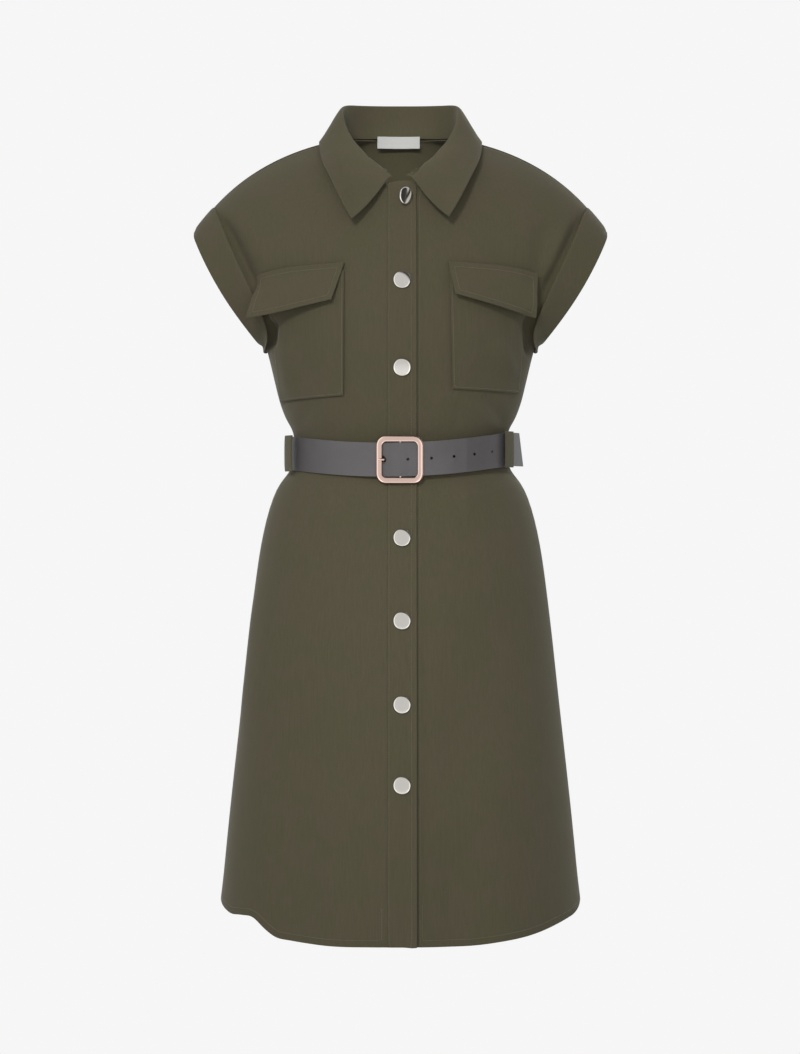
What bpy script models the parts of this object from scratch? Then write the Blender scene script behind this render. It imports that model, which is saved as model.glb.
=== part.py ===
"""A belted shirt dress, worn form, with nobody in it.

Every cloth piece is cut from one smooth surface that runs up the front, over the shoulder and
down the back. The front faces -Y, +X is to the right of someone who faces it, +Z is up, and the
origin lies between the shoulders, at the height of the neck ends of the shoulder seams. Left and
right in a piece's name are the wearer's own.
"""

import math
from collections import namedtuple

import bmesh
import bpy
import numpy as np
from mathutils import Vector

# ---------------------------------------------------------------- driving sizes, in metres
WALL = 0.0014           # a body panel
DOUBLE = 0.0018         # a folded piece: collar, cuffs, front bands, flaps
SEAM = 0.0004           # between two pieces sewn edge to edge
LIE = 0.0005            # between a piece and what it lies on
BAND_WIDTH = 0.032      # each front band
BAND_SHIFT = 0.0017     # the upper band's centre, towards +X
BELT_WIDTH = 0.038
BELT_THICK = 0.0022
BELT_TILT = 0.022       # the belt climbs this much per metre towards +X
BUCKLE_SIZE = 0.052
BUTTON_RADIUS = 0.0097
ROUND = 0.5523          # handle length of a quarter ellipse, as a share of its half axis

# ---------------------------------------------------------------- colours
OLIVE = (0.088, 0.077, 0.050)
BELT_GREY = (0.090, 0.084, 0.086)
NICKEL = (0.72, 0.70, 0.66)
ROSE_GOLD = (0.86, 0.62, 0.53)
LABEL_WHITE = (0.55, 0.55, 0.52)

# ---------------------------------------------------------------- the trunk, hem to underarm
# One level ring a row: heights at the centre front, the side seam and the centre back, half the
# width, the depth in front of and behind the side seam, and how steeply the ring climbs to it.
Ring = namedtuple("Ring", "name front_z side_z back_z half_width front back climb")
TRUNK = (
    Ring("hem",         -0.907, -0.907, -0.907, 0.2085, 0.150, 0.156, 0),
    Ring("low skirt",   -0.780, -0.780, -0.780, 0.1965, 0.143, 0.149, 0),
    Ring("mid skirt",   -0.640, -0.640, -0.640, 0.1810, 0.134, 0.139, 0),
    Ring("hip",         -0.508, -0.508, -0.508, 0.1662, 0.124, 0.127, 0),
    Ring("high hip",    -0.432, -0.430, -0.430, 0.1538, 0.114, 0.107, 0),
    Ring("below belt",  -0.4000, -0.3935, -0.3925, 0.1420, 0.108, 0.094, 0),
    Ring("belt bottom", -0.3890, -0.3795, -0.3780, 0.1242, 0.099, 0.083, 0),
    Ring("waist",       -0.3670, -0.3555, -0.3550, 0.1200, 0.096, 0.080, 0),
    Ring("belt top",    -0.3450, -0.3320, -0.3310, 0.1220, 0.098, 0.082, 0),
    Ring("above belt",  -0.3340, -0.3220, -0.3200, 0.1300, 0.104, 0.088, 0),
    Ring("midriff",     -0.286, -0.284, -0.282, 0.1418, 0.114, 0.096, 0),
)

# The shirt-tail hem climbs from the flat middle to the side seams.
Hem = namedtuple("Hem", "share left right")
HEM = (
    Hem(0.00, 0.000, 0.000), Hem(0.24, 0.000, 0.000), Hem(0.41, 0.006, 0.004),
    Hem(0.52, 0.011, 0.014), Hem(0.60, 0.016, 0.024), Hem(0.68, 0.021, 0.029),
    Hem(0.80, 0.027, 0.031), Hem(1.00, 0.033, 0.033),
)
HEM_REACH = 0.24        # above this much strip the rows run level again

# ---------------------------------------------------------------- the neck seam
Point = namedtuple("Point", "x y z")
NECK = {
    "front":      Point(0.000, -0.082, -0.0575),
    "front leaf": Point(0.040, -0.067, -0.040),
    "front side": Point(0.061, -0.038, -0.018),
    "shoulder":   Point(0.068, -0.004, 0.000),
    "back side":  Point(0.057, 0.028, 0.003),
    "back leaf":  Point(0.036, 0.046, 0.004),
    "back":       Point(0.000, 0.054, 0.004),
}

# ---------------------------------------------------------------- the armhole edge
# A loop that leans out over the upper arm. Its angle runs from 0 at the shoulder to 180 below.
ARM_TOP = Point(0.2345, -0.002, -0.1052)
ARM_FOOT = Point(0.1535, 0.000, -0.237)
ARM_HALF_DEPTH = 0.056
ARM_BOW = 0.008         # the front and back of the loop stand this much further out

# One section a row, from a point on the centre line or the neck seam out to the armhole edge.
Yoke = namedtuple("Yoke", "angle start start_reach start_slope end_reach heading climb")
FRONT_YOKE = (
    Yoke(180, Point(0, -0.121, -0.226), 0.092, 0, 0.064, 88, 0),
    Yoke(150, Point(0, -0.117, -0.180), 0.098, -2, 0.060, 52, -18),
    Yoke(120, Point(0, -0.108, -0.136), 0.100, -4, 0.060, 30, -26),
    Yoke(90,  Point(0, -0.096, -0.092), 0.100, -6, 0.062, 22, -32),
    Yoke(60,  NECK["front"], 0.100, -8, 0.062, 18, -38),
    Yoke(36,  NECK["front leaf"], 0.084, -9, 0.062, 11, -46),
    Yoke(16,  NECK["front side"], 0.080, -10, 0.062, 5, -53),
    Yoke(0,   NECK["shoulder"], 0.080, -10.5, 0.062, 0, -57),
)
BACK_YOKE = (
    Yoke(16,  NECK["back side"], 0.080, -9.5, 0.062, -5, -53),
    Yoke(36,  NECK["back leaf"], 0.090, -7, 0.062, -11, -46),
    Yoke(60,  NECK["back"], 0.105, -6, 0.062, -18, -38),
    Yoke(90,  Point(0, 0.076, -0.048), 0.105, -5, 0.062, -22, -32),
    Yoke(120, Point(0, 0.092, -0.104), 0.100, -4, 0.058, -30, -26),
    Yoke(150, Point(0, 0.098, -0.164), 0.092, -2, 0.056, -52, -18),
    Yoke(180, Point(0, 0.099, -0.222), 0.084, 0, 0.056, -88, 0),
)


def armhole(angle, back):
    """The point of the right-hand armhole edge at this angle, on its front or back half."""
    top, foot = np.array(ARM_TOP), np.array(ARM_FOOT)
    fall = foot - top
    length = np.linalg.norm(fall)
    out = np.array((-fall[2], 0.0, fall[0])) / length
    turn = math.radians(angle)
    depth = ARM_HALF_DEPTH * math.sin(turn) * (1 if back else -1)
    bow = ARM_BOW * math.sin(turn) ** 2
    return (top + foot) / 2 - fall / 2 * math.cos(turn) + out * bow + np.array((0, depth, 0))


def ring_handles(ring, back):
    """Four Bezier points of half a ring, from the centre line to the side seam."""
    depth = ring.back if back else -ring.front
    start = np.array((0, depth, ring.back_z if back else ring.front_z))
    end = np.array((ring.half_width, 0, ring.side_z))
    climb = math.radians(ring.climb)
    pull = np.array((0, math.cos(climb) * depth, -math.sin(climb) * abs(depth))) * ROUND
    return [start, start + np.array((ROUND * ring.half_width, 0, 0)), end + pull, end]


def yoke_handles(row, back):
    """Four Bezier points of a yoke section, from its start out to the armhole edge."""
    start, end = np.array(row.start), armhole(row.angle, back)
    slope, heading, climb = (math.radians(v) for v in (row.start_slope, row.heading, row.climb))
    leave = np.array((math.cos(slope), 0, math.sin(slope)))
    arrive = np.array((
        math.cos(heading) * math.cos(climb),
        math.sin(heading) * math.cos(climb),
        math.sin(climb),
    ))
    return [start, start + leave * row.start_reach, end - arrive * row.end_reach, end]


# The whole strip in order: front hem, shoulder, back hem.
STRIP = np.array(
    [ring_handles(ring, False) for ring in TRUNK]
    + [yoke_handles(row, False) for row in FRONT_YOKE]
    + [yoke_handles(row, True) for row in BACK_YOKE]
    + [ring_handles(ring, True) for ring in reversed(TRUNK)]
)
STEPS = np.linalg.norm(np.diff(STRIP, axis=0), axis=2).mean(axis=1)
KNOTS = np.concatenate([[0.0], np.cumsum(STEPS)])
NAMES = [ring.name for ring in TRUNK]
UNDERARM_FRONT = len(TRUNK)
NECK_FRONT = UNDERARM_FRONT + [row.start for row in FRONT_YOKE].index(NECK["front"])
SHOULDER = UNDERARM_FRONT + len(FRONT_YOKE) - 1
NECK_BACK = SHOULDER + 1 + [row.start for row in BACK_YOKE].index(NECK["back"])
UNDERARM_BACK = SHOULDER + len(BACK_YOKE)


def along(row):
    """How far up the strip a numbered row, or a row between two, lies."""
    return float(np.interp(row, range(len(KNOTS)), KNOTS))


def front_row(name):
    return along(NAMES.index(name))


def back_row(name):
    return along(len(KNOTS) - 1 - NAMES.index(name))


def slopes(values):
    """Slope at each knot of a curve through all rows, weighted towards the nearer neighbour."""
    gaps = np.diff(KNOTS).reshape(-1, 1, 1)
    rates = np.diff(values, axis=0) / gaps
    inner = (rates[:-1] * gaps[1:] + rates[1:] * gaps[:-1]) / (gaps[1:] + gaps[:-1])
    return np.concatenate([rates[:1], inner, rates[-1:]])


SLOPES_BELOW = slopes(STRIP)
SLOPES_ABOVE = SLOPES_BELOW.copy()


def set_underarm_slopes():
    """At the underarm the side seam ends upright and the armhole edge starts level, so the two
    sides of that row have different slopes at its outer end."""
    small = 0.5
    for row, back in ((UNDERARM_FRONT, False), (UNDERARM_BACK, True)):
        body, sleeve = (SLOPES_ABOVE, SLOPES_BELOW) if back else (SLOPES_BELOW, SLOPES_ABOVE)
        body[row, 2:, 1] = 0.0
        other = row - 1 if back else row + 1
        turned = BACK_YOKE[-2].angle if back else FRONT_YOKE[1].angle
        rate = (180 - turned) / abs(KNOTS[other] - KNOTS[row])
        step = (armhole(180 - small, back) - armhole(180, back)) / small * rate
        sleeve[row, 3] = -step if back else step


set_underarm_slopes()


def dress(across, up):
    """Points of the dress surface. across is 0 on the centre line and 1 at the side seam or the
    armhole edge, and negative on the -X side. up is metres along the strip."""
    across, up = np.broadcast_arrays(np.asarray(across, float), np.asarray(up, float))
    low = np.clip(np.searchsorted(KNOTS, up, side="right") - 1, 0, len(KNOTS) - 2)
    gap = (KNOTS[low + 1] - KNOTS[low])[..., None, None]
    part = ((up - KNOTS[low])[..., None, None]) / gap
    curve = (
        STRIP[low] * (2 * part**3 - 3 * part**2 + 1)
        + SLOPES_ABOVE[low] * gap * (part**3 - 2 * part**2 + part)
        + STRIP[low + 1] * (3 * part**2 - 2 * part**3)
        + SLOPES_BELOW[low + 1] * gap * (part**3 - part**2)
    )
    share = np.abs(across)[..., None]
    rest = 1 - share
    points = (
        curve[..., 0, :] * rest**3
        + curve[..., 1, :] * 3 * rest**2 * share
        + curve[..., 2, :] * 3 * rest * share**2
        + curve[..., 3, :] * share**3
    )
    points[..., 0] *= np.where(np.signbit(across), -1, 1)
    return points


def outward(across, up):
    """Unit normals of the dress surface, pointing away from the wearer."""
    small_across, small_up = 1e-3, 1e-4
    across, up = np.broadcast_arrays(np.asarray(across, float), np.asarray(up, float))
    sign = np.where(np.signbit(across), -1.0, 1.0)
    middle = np.clip(np.abs(across), small_across, 1 - small_across)
    inner = dress((middle - small_across) * sign, up)
    outer = dress((middle + small_across) * sign, up)
    level = np.clip(up, small_up, KNOTS[-1] - small_up)
    rise = dress(across, level + small_up) - dress(across, level - small_up)
    normal = np.cross((outer - inner) * sign[..., None], rise)
    return normal / np.linalg.norm(normal, axis=-1, keepdims=True)


def lifted(across, up, lift):
    """Points this far outside the dress surface."""
    return dress(across, up) + outward(across, up) * np.asarray(lift, float)[..., None]


def across_at_x(x, up):
    """How far across the strip the surface is this far from the centre plane, near the centre."""
    shares = np.linspace(0, 0.6, 61)
    widths = dress(shares, up)[:, 0]
    return math.copysign(float(np.interp(abs(x), widths, shares)), x)


def across_at_length(up, inset):
    """How far across a row a point lies that is this far short of the row's outer end."""
    shares = np.linspace(0.3, 1, 141)
    steps = np.linalg.norm(np.diff(dress(shares, up), axis=0), axis=1)
    left = np.concatenate([np.cumsum(steps[::-1])[::-1], [0.0]])
    return float(np.interp(-inset, -left, shares))


def solve(across, up, error, around=False):
    """across and up where both errors vanish, by Newton steps from a first guess."""
    small = 1e-4
    for _ in range(40):
        e = error(dress(across, up))
        ea = (error(dress(across + small, up)) - e) / small
        eu = (error(dress(across, up + small)) - e) / small
        scale = ea[0] * eu[1] - ea[1] * eu[0]
        across = np.clip(across - 0.7 * (e[0] * eu[1] - e[1] * eu[0]) / scale, 0.002, 0.998)
        up = up - 0.7 * (ea[0] * e[1] - ea[1] * e[0]) / scale
    return across, up


GUESS_HEIGHTS = (-0.907, -0.367, -0.286, -0.226, -0.0575)
GUESS_ROWS = (0, 7, 10, 11, 15)


def first_up(height):
    return np.interp(height, GUESS_HEIGHTS, [along(row) for row in GUESS_ROWS])


def find_turned(turn, height):
    """Where the front is at this turn about the upright axis, in degrees, and this height."""
    turn, height = np.broadcast_arrays(np.radians(turn), np.asarray(height, float))
    across, up = solve(
        np.clip(np.abs(turn) / (math.pi / 2), 0.02, 0.95), first_up(height),
        lambda p: np.stack([np.arctan2(p[..., 0], -p[..., 1]) - np.abs(turn),
                            p[..., 2] - height]))
    return np.copysign(across, turn), up


def find_seen(x, height):
    """Where the front is at this distance from the centre plane and this height."""
    x, height = np.broadcast_arrays(np.asarray(x, float), np.asarray(height, float))
    across, up = solve(
        np.clip(np.arcsin(np.clip(np.abs(x) / 0.2, 0, 0.9)) / (math.pi / 2), 0.02, 0.9),
        first_up(height),
        lambda p: np.stack([p[..., 0] - np.abs(x), p[..., 2] - height]))
    return np.copysign(across, x), up


NEAR_UPS = np.linspace(along(NAMES.index("midriff")), along(UNDERARM_BACK + 1), 500)
NEAR_SHARES = np.linspace(0.0, 1.0, 161)
NEAR = dress(*np.meshgrid(NEAR_SHARES, NEAR_UPS))


def closest(point):
    """across and up of the surface point nearest a point of the +X half, near the yoke."""
    gaps = np.linalg.norm(NEAR - point, axis=2)
    row, column = np.unravel_index(gaps.argmin(), gaps.shape)
    across, up = float(NEAR_SHARES[column]), float(NEAR_UPS[row])
    small = 1e-4
    for _ in range(8):
        here = dress(across, up)
        side = -small if across > 0.5 else small
        da = (dress(across + side, up) - here) / side
        du = (dress(across, up + small) - here) / small
        pull = np.linalg.lstsq(np.stack([da, du], 1), point - here, rcond=None)[0]
        across = min(1.0, max(0.0, across + 0.7 * pull[0]))
        up += 0.7 * float(pull[1])
    return across, up


# ---------------------------------------------------------------- mesh helpers
def clear_scene():
    for thing in list(bpy.data.objects):
        bpy.data.objects.remove(thing, do_unlink=True)


def finish_material(name, colour, roughness, metallic=0.0):
    material = bpy.data.materials.new(name)
    material.use_nodes = True
    shader = material.node_tree.nodes["Principled BSDF"]
    shader.inputs["Base Color"].default_value = (*colour, 1)
    shader.inputs["Roughness"].default_value = roughness
    shader.inputs["Metallic"].default_value = metallic
    return material


def add_object(name, mesh, material, parent):
    thing = bpy.data.objects.new(name, mesh)
    bpy.context.scene.collection.objects.link(thing)
    mesh.materials.append(material)
    thing.parent = parent
    return thing


def grid_mesh(name, points):
    """An open sheet through a grid of points."""
    rows, columns = points.shape[:2]
    mesh = bpy.data.meshes.new(name)
    faces = []
    for r in range(rows - 1):
        for c in range(columns - 1):
            here, above = r * columns + c, (r + 1) * columns + c
            faces.append((here, here + 1, above + 1, above))
    mesh.from_pydata(points.reshape(-1, 3).tolist(), [], faces)
    return mesh


def shell_mesh(name, outer, inner, loop=False):
    """A closed cloth wall from its outer and inner faces, two grids of the same size."""
    rows, columns = len(outer), len(outer[0])
    bm = bmesh.new()
    over = [[bm.verts.new(p) for p in row] for row in outer]
    under = [[bm.verts.new(p) for p in row] for row in inner]
    reach = columns if loop else columns - 1
    for r in range(rows - 1):
        for c in range(reach):
            d = (c + 1) % columns
            bm.faces.new((over[r][c], over[r][d], over[r + 1][d], over[r + 1][c]))
            bm.faces.new((under[r][c], under[r + 1][c], under[r + 1][d], under[r][d]))
    for c in range(reach):
        d = (c + 1) % columns
        bm.faces.new((over[0][c], under[0][c], under[0][d], over[0][d]))
        bm.faces.new((over[-1][c], over[-1][d], under[-1][d], under[-1][c]))
    if not loop:
        for r in range(rows - 1):
            bm.faces.new((over[r][0], over[r + 1][0], under[r + 1][0], under[r][0]))
            bm.faces.new((over[r][-1], under[r][-1], under[r + 1][-1], over[r + 1][-1]))
    bmesh.ops.recalc_face_normals(bm, faces=bm.faces)
    mesh = bpy.data.meshes.new(name)
    bm.to_mesh(mesh)
    bm.free()
    mesh.shade_smooth()
    return mesh


def add_shell(name, outer, inner, material, parent, loop=False):
    return add_object(name, shell_mesh(name, outer, inner, loop), material, parent)


def add_wall(name, points, thickness, material, parent, flip=False):
    """A cloth wall whose outer face is the grid; the thickness lies behind it."""
    mesh = grid_mesh(name, points)
    if flip:
        mesh.flip_normals()
    mesh.shade_smooth()
    wall = add_object(name, mesh, material, parent)
    solid = wall.modifiers.new("Wall", "SOLIDIFY")
    solid.thickness = thickness
    solid.offset = -1
    solid.use_even_offset = True
    return wall


def add_lathe(name, profile, steps, place, facing, material, parent):
    """A turned piece. The profile holds (radius, height) pairs, and its axis points to facing."""
    bm = bmesh.new()
    line = [bm.verts.new((radius, 0, height)) for radius, height in profile]
    edges = [bm.edges.new(pair) for pair in zip(line, line[1:])]
    bmesh.ops.spin(bm, geom=line + edges, cent=(0, 0, 0), axis=(0, 0, 1),
                   angle=math.tau, steps=steps, use_duplicate=False)
    bmesh.ops.remove_doubles(bm, verts=bm.verts, dist=1e-6)
    bmesh.ops.recalc_face_normals(bm, faces=bm.faces)
    mesh = bpy.data.meshes.new(name)
    bm.to_mesh(mesh)
    bm.free()
    mesh.shade_smooth()
    piece = add_object(name, mesh, material, parent)
    piece.rotation_euler = Vector(facing).to_track_quat("Z", "Y").to_euler()
    piece.location = place
    return piece


# ---------------------------------------------------------------- body panels
LAP = WALL + LIE        # how far the upper front band stands outside the lower one
LAP_RUN = 0.030         # the -X front climbs to it over this width


def lap_lift(x):
    share = np.clip((x + BAND_WIDTH / 2 - BAND_SHIFT + LAP_RUN) / LAP_RUN, 0, 1)
    return LAP * share**2 * (3 - 2 * share)


def hemmed(across, up):
    """Heights up the strip once its lower end follows the hem."""
    shares = [row.share for row in HEM]
    rise = np.where(
        np.signbit(across),
        np.interp(np.abs(across), shares, [row.right for row in HEM]),
        np.interp(np.abs(across), shares, [row.left for row in HEM]))
    end = KNOTS[-1]
    front = rise * np.clip(1 - up / HEM_REACH, 0, 1)
    back = rise * np.clip(1 - (end - up) / HEM_REACH, 0, 1)
    return up + front - back


SKIRT_STEP = 0.058      # between the rows of a panel below the belt
CHEST_STEP = 0.0245     # and above it
BELT_ROWS = ("below belt", "belt bottom", "waist", "belt top", "above belt")
SPREAD = np.linspace(0, 1, 14)


def strip_levels(first, last):
    """Heights up the strip, closer together above the belt, with the belt's rows, the
    underarm rows and the neck rows hit exactly."""
    keep = [front_row(name) for name in BELT_ROWS] + [back_row(name) for name in BELT_ROWS]
    keep += [along(row) for row in (UNDERARM_FRONT, UNDERARM_BACK, NECK_FRONT, NECK_BACK)]
    stops = sorted({first, last, *(k for k in keep if first < k < last)})
    chest = front_row("belt top"), back_row("belt top")
    levels = [first]
    for low, high in zip(stops, stops[1:]):
        step = CHEST_STEP if chest[0] < (low + high) / 2 < chest[1] else SKIRT_STEP
        levels += list(np.linspace(low, high, max(1, round((high - low) / step)) + 1)[1:])
    return levels


def faces_of(across, up, lift, wall):
    """The outer and inner face of a wall that stands this far outside the dress surface."""
    return lifted(across, up, lift), lifted(across, up, lift - wall)


def front_panel(side):
    """Both faces of a front, side -1 or 1, from its band or the neck seam to the side."""
    band_edge = BAND_WIDTH / 2 + SEAM + (BAND_SHIFT if side > 0 else -BAND_SHIFT)
    outer, inner = [], []
    for up in strip_levels(0.0, along(SHOULDER) - SEAM):
        neck_x = float(dress(0, up)[0])
        first = abs(across_at_x(max(band_edge, neck_x), up))
        last = across_at_length(up, SEAM)
        across = np.copysign(first + (last - first) * SPREAD, side)
        ups = hemmed(across, up)
        lift = lap_lift(dress(across, ups)[:, 0]) if side < 0 else np.zeros(len(across))
        over, under = faces_of(across, ups, lift, WALL)
        outer.append(over)
        inner.append(under)
    return outer, inner


def add_fronts(material, parent):
    for name, side in (("front_left", 1), ("front_right", -1)):
        outer, inner = front_panel(side)
        add_shell(name, outer, inner, material, parent)


def add_back(material, parent):
    """The back is one sheet with the neck cut out of its upper middle, so it is built as two
    halves that share their centre line below the neck seam."""
    levels = strip_levels(along(SHOULDER) + SEAM, KNOTS[-1])
    joined = [up >= along(NECK_BACK) - 1e-6 for up in levels]
    bm = bmesh.new()
    halves = {}
    for side in (1, -1):
        faces = []
        for up in levels:
            across = np.copysign(across_at_length(up, SEAM) * SPREAD, side)
            ups = hemmed(across, up)
            faces.append(faces_of(across, ups, np.zeros(len(across)), WALL))
        for layer in (0, 1):
            rows = []
            for r, pair in enumerate(faces):
                made = [bm.verts.new(p) for p in pair[layer][1:]]
                shared = side < 0 and joined[r]
                middle = halves[1, layer][r][0] if shared else bm.verts.new(pair[layer][0])
                rows.append([middle, *made])
            halves[side, layer] = rows
    for side in (1, -1):
        over, under = halves[side, 0], halves[side, 1]
        for r in range(len(levels) - 1):
            for c in range(len(SPREAD) - 1):
                for rows in (over, under):
                    bm.faces.new((rows[r][c], rows[r][c + 1], rows[r + 1][c + 1], rows[r + 1][c]))
            bm.faces.new((over[r][-1], under[r][-1], under[r + 1][-1], over[r + 1][-1]))
            if not (joined[r] and joined[r + 1]):
                bm.faces.new((over[r][0], under[r][0], under[r + 1][0], over[r + 1][0]))
        for r in (0, -1):
            for c in range(len(SPREAD) - 1):
                bm.faces.new((over[r][c], over[r][c + 1], under[r][c + 1], under[r][c]))
    bmesh.ops.recalc_face_normals(bm, faces=bm.faces)
    mesh = bpy.data.meshes.new("back")
    bm.to_mesh(mesh)
    bm.free()
    mesh.shade_smooth()
    add_object("back", mesh, material, parent)


# ---------------------------------------------------------------- front bands
def neck_up(x):
    """How far up the strip the neck seam is this far from the centre plane."""
    ups = np.linspace(along(NECK_FRONT), along(NECK_FRONT + 1), 80)
    return float(np.interp(abs(x), dress(0, ups)[:, 0], ups))


BAND_BLEND = 0.045      # the top of a band turns to follow the neck seam over this much
COLLAR_DROP = 0.0112    # and its corners stop this far short of the seam, under the collar


def band_top(x):
    short = COLLAR_DROP * min(1.0, max(0.0, (abs(x) - 0.006) / 0.006))
    return neck_up(x) - short


def front_band(lift):
    """Both faces of a front band: lines down the centre, from the hem to the neck seam."""
    base = along(NECK_FRONT)
    outer, inner = [], []
    for level in strip_levels(0.0, base):
        share = np.clip((level - base + BAND_BLEND) / BAND_BLEND, 0, 1)
        xs = np.linspace(-BAND_WIDTH / 2, BAND_WIDTH / 2, 4) + BAND_SHIFT
        ups = np.array([level + (band_top(x) - base) * share for x in xs])
        across = np.array([across_at_x(x, up) for x, up in zip(xs, ups)])
        over, under = faces_of(across, ups, np.full(len(xs), lift), WALL)
        outer.append(over)
        inner.append(under)
    return outer, inner


def add_bands(material, parent):
    add_shell("band_lower", *front_band(0.0), material, parent)
    add_shell("band_upper", *front_band(LAP), material, parent)


# ---------------------------------------------------------------- cuffs
# The sleeve end is turned back over itself. Round the armhole, from 0 at the shoulder to 180
# below: the width of the turned band and how far its free edge stands off the sleeve.
Cuff = namedtuple("Cuff", "angle width stand")
CUFF = (
    Cuff(0, 0.036, 0.0001), Cuff(45, 0.035, 0.0026), Cuff(90, 0.033, 0.0045),
    Cuff(135, 0.026, 0.0058), Cuff(160, 0.0125, 0.0032), Cuff(180, 0.0045, 0.0008),
)
LIP = 0.0012            # how far the fold stands out beyond the sleeve's edge
CUFF_REST = 0.0012      # between the cuff and the sleeve
UNDERARM_REST = 0.0012  # and this much more at the underarm
CUFF_ANGLES = (0, 16, 32, 48, 64, 80, 96, 112, 128, 142, 155, 168, 180)


UNDERARM_TURN = 135     # below this the cuff's outward direction turns to the body side's
BODY_SIDE = np.array((0.995, 0.0, 0.1))


def cuff_station(angle, back):
    """The sleeve edge at this angle: its point, its outward normal and the way in from it."""
    rows = BACK_YOKE if back else FRONT_YOKE
    first = SHOULDER + 1 if back else UNDERARM_FRONT
    known = sorted([(row.angle, along(first + n)) for n, row in enumerate(rows)]
                   + ([(0, along(SHOULDER))] if back else []))
    small = 0.5

    def edge_at(turn):
        up = float(np.interp(turn, [k[0] for k in known], [k[1] for k in known]))
        return up, dress(1.0, up)

    low, high = max(0, angle - small), min(180, angle + small)
    run = (edge_at(high)[1] - edge_at(low)[1]) * (1 if back else -1)
    if angle in (0, 180):
        run = np.array((0.0, 1.0 if angle == 0 else -1.0, 0.0))
    up, edge = edge_at(angle)
    share = max(0.0, (angle - UNDERARM_TURN) / (180 - UNDERARM_TURN))
    upper = outward(1.0, edge_at(min(angle, UNDERARM_TURN))[0])
    normal = upper * (1 - share) + BODY_SIDE * share
    normal -= run * (normal @ run) / (run @ run)
    normal /= np.linalg.norm(normal)
    way_in = np.cross(normal, run)
    return edge, normal, way_in / np.linalg.norm(way_in)


def cuff_faces(side):
    """Both faces of a cuff: lines round the armhole, from its fold to its free edge."""
    stations = [(a, False) for a in reversed(CUFF_ANGLES)]
    stations += [(a, True) for a in CUFF_ANGLES[1:-1]]
    mirror = np.array((side, 1, 1))
    outer, inner = [], []
    for angle, back in stations:
        edge, normal, way_in = cuff_station(angle, back)
        angles = [row.angle for row in CUFF]
        width = float(np.interp(angle, angles, [row.width for row in CUFF]))
        stand = float(np.interp(angle, angles, [row.stand for row in CUFF]))
        low = max(0.0, (angle - UNDERARM_TURN) / (180 - UNDERARM_TURN))
        rest = CUFF_REST + UNDERARM_REST * low
        lip = LIP + UNDERARM_REST * low
        over = [edge - way_in * (lip + DOUBLE) - normal * 0.0006,
                edge - way_in * (lip + DOUBLE * 0.6) + normal * (rest + DOUBLE)]
        under = [edge - way_in * lip - normal * 0.0006,
                 edge - way_in * lip * 0.8 + normal * rest]
        for part in (0.14, 0.55, 1.0):
            across, up = closest(edge + way_in * width * part)
            base = rest + stand * part**1.5
            over.append(lifted(across, up, base + DOUBLE))
            under.append(lifted(across, up, base))
        outer.append([p * mirror for p in over])
        inner.append([p * mirror for p in under])
    return np.swapaxes(np.array(outer), 0, 1), np.swapaxes(np.array(inner), 0, 1)


def add_cuffs(material, parent):
    for name, side in (("cuff_left", 1), ("cuff_right", -1)):
        add_shell(name, *cuff_faces(side), material, parent, loop=True)


# ---------------------------------------------------------------- collar
# One piece, folded over. One station a row, from the centre back round to the front end: how
# far up the strip the neck seam is, the fold along its top, and its outer edge.
Station = namedtuple("Station", "up fold edge")
COLLAR = (
    Station(along(NECK_BACK),
            Point(0.0000, 0.0600, 0.0434), Point(0.0000, 0.0870, -0.0130)),
    Station(along(NECK_BACK - 1),
            Point(0.0380, 0.0510, 0.0434), Point(0.0520, 0.0750, -0.0140)),
    Station(along(NECK_BACK - 2),
            Point(0.0585, 0.0300, 0.0424), Point(0.0810, 0.0450, -0.0090)),
    Station(along(SHOULDER),
            Point(0.0630, -0.0050, 0.0310), Point(0.0905, -0.0020, -0.0020)),
    Station(along(SHOULDER - 1),
            Point(0.0575, -0.0340, 0.0065), Point(0.0880, -0.0440, -0.0240)),
    Station(along(SHOULDER - 2),
            Point(0.0385, -0.0600, -0.0225), Point(0.0786, -0.0800, -0.0510)),
    Station(neck_up(0.022),
            Point(0.0220, -0.0752, -0.0445), Point(0.0660, -0.0985, -0.0770)),
    Station(neck_up(0.0085),
            Point(0.0085, -0.0815, -0.0525), Point(0.0535, -0.1060, -0.0960)),
)
COLLAR_WALL = 0.0016
ROLL = 0.0043           # across the fold, outside to outside
COLLAR_LOW = COLLAR_WALL + 0.0011
SEAM_RISE = (0.0012, 0.0034)    # the stand's foot above the seam, at the back and the front
SEAM_IN = 0.0007        # the stand sits this much inside the neck seam
COLLAR_COLUMNS = 27


def through(values, knots, places):
    """A smooth curve through values at knots, read at the given places."""
    values = np.array(values, float)
    gaps = np.diff(knots).reshape(-1, *[1] * (values.ndim - 1))
    rates = np.diff(values, axis=0) / gaps
    inner = (rates[:-1] * gaps[1:] + rates[1:] * gaps[:-1]) / (gaps[1:] + gaps[:-1])
    slope = np.concatenate([rates[:1], inner, rates[-1:]])
    out = []
    for place in places:
        k = min(max(int(np.searchsorted(knots, place, side="right")) - 1, 0), len(knots) - 2)
        gap = knots[k + 1] - knots[k]
        p = (place - knots[k]) / gap
        out.append(
            values[k] * (2 * p**3 - 3 * p**2 + 1)
            + slope[k] * gap * (p**3 - 2 * p**2 + p)
            + values[k + 1] * (3 * p**2 - 2 * p**3)
            + slope[k + 1] * gap * (p**3 - p**2)
        )
    return np.array(out)


def both_halves(rows, sign):
    """Rows from the centre back round to the front, made whole from -X end to +X end."""
    rows = np.array(rows, float)
    return np.concatenate([rows[:0:-1] * sign, rows])


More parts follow.
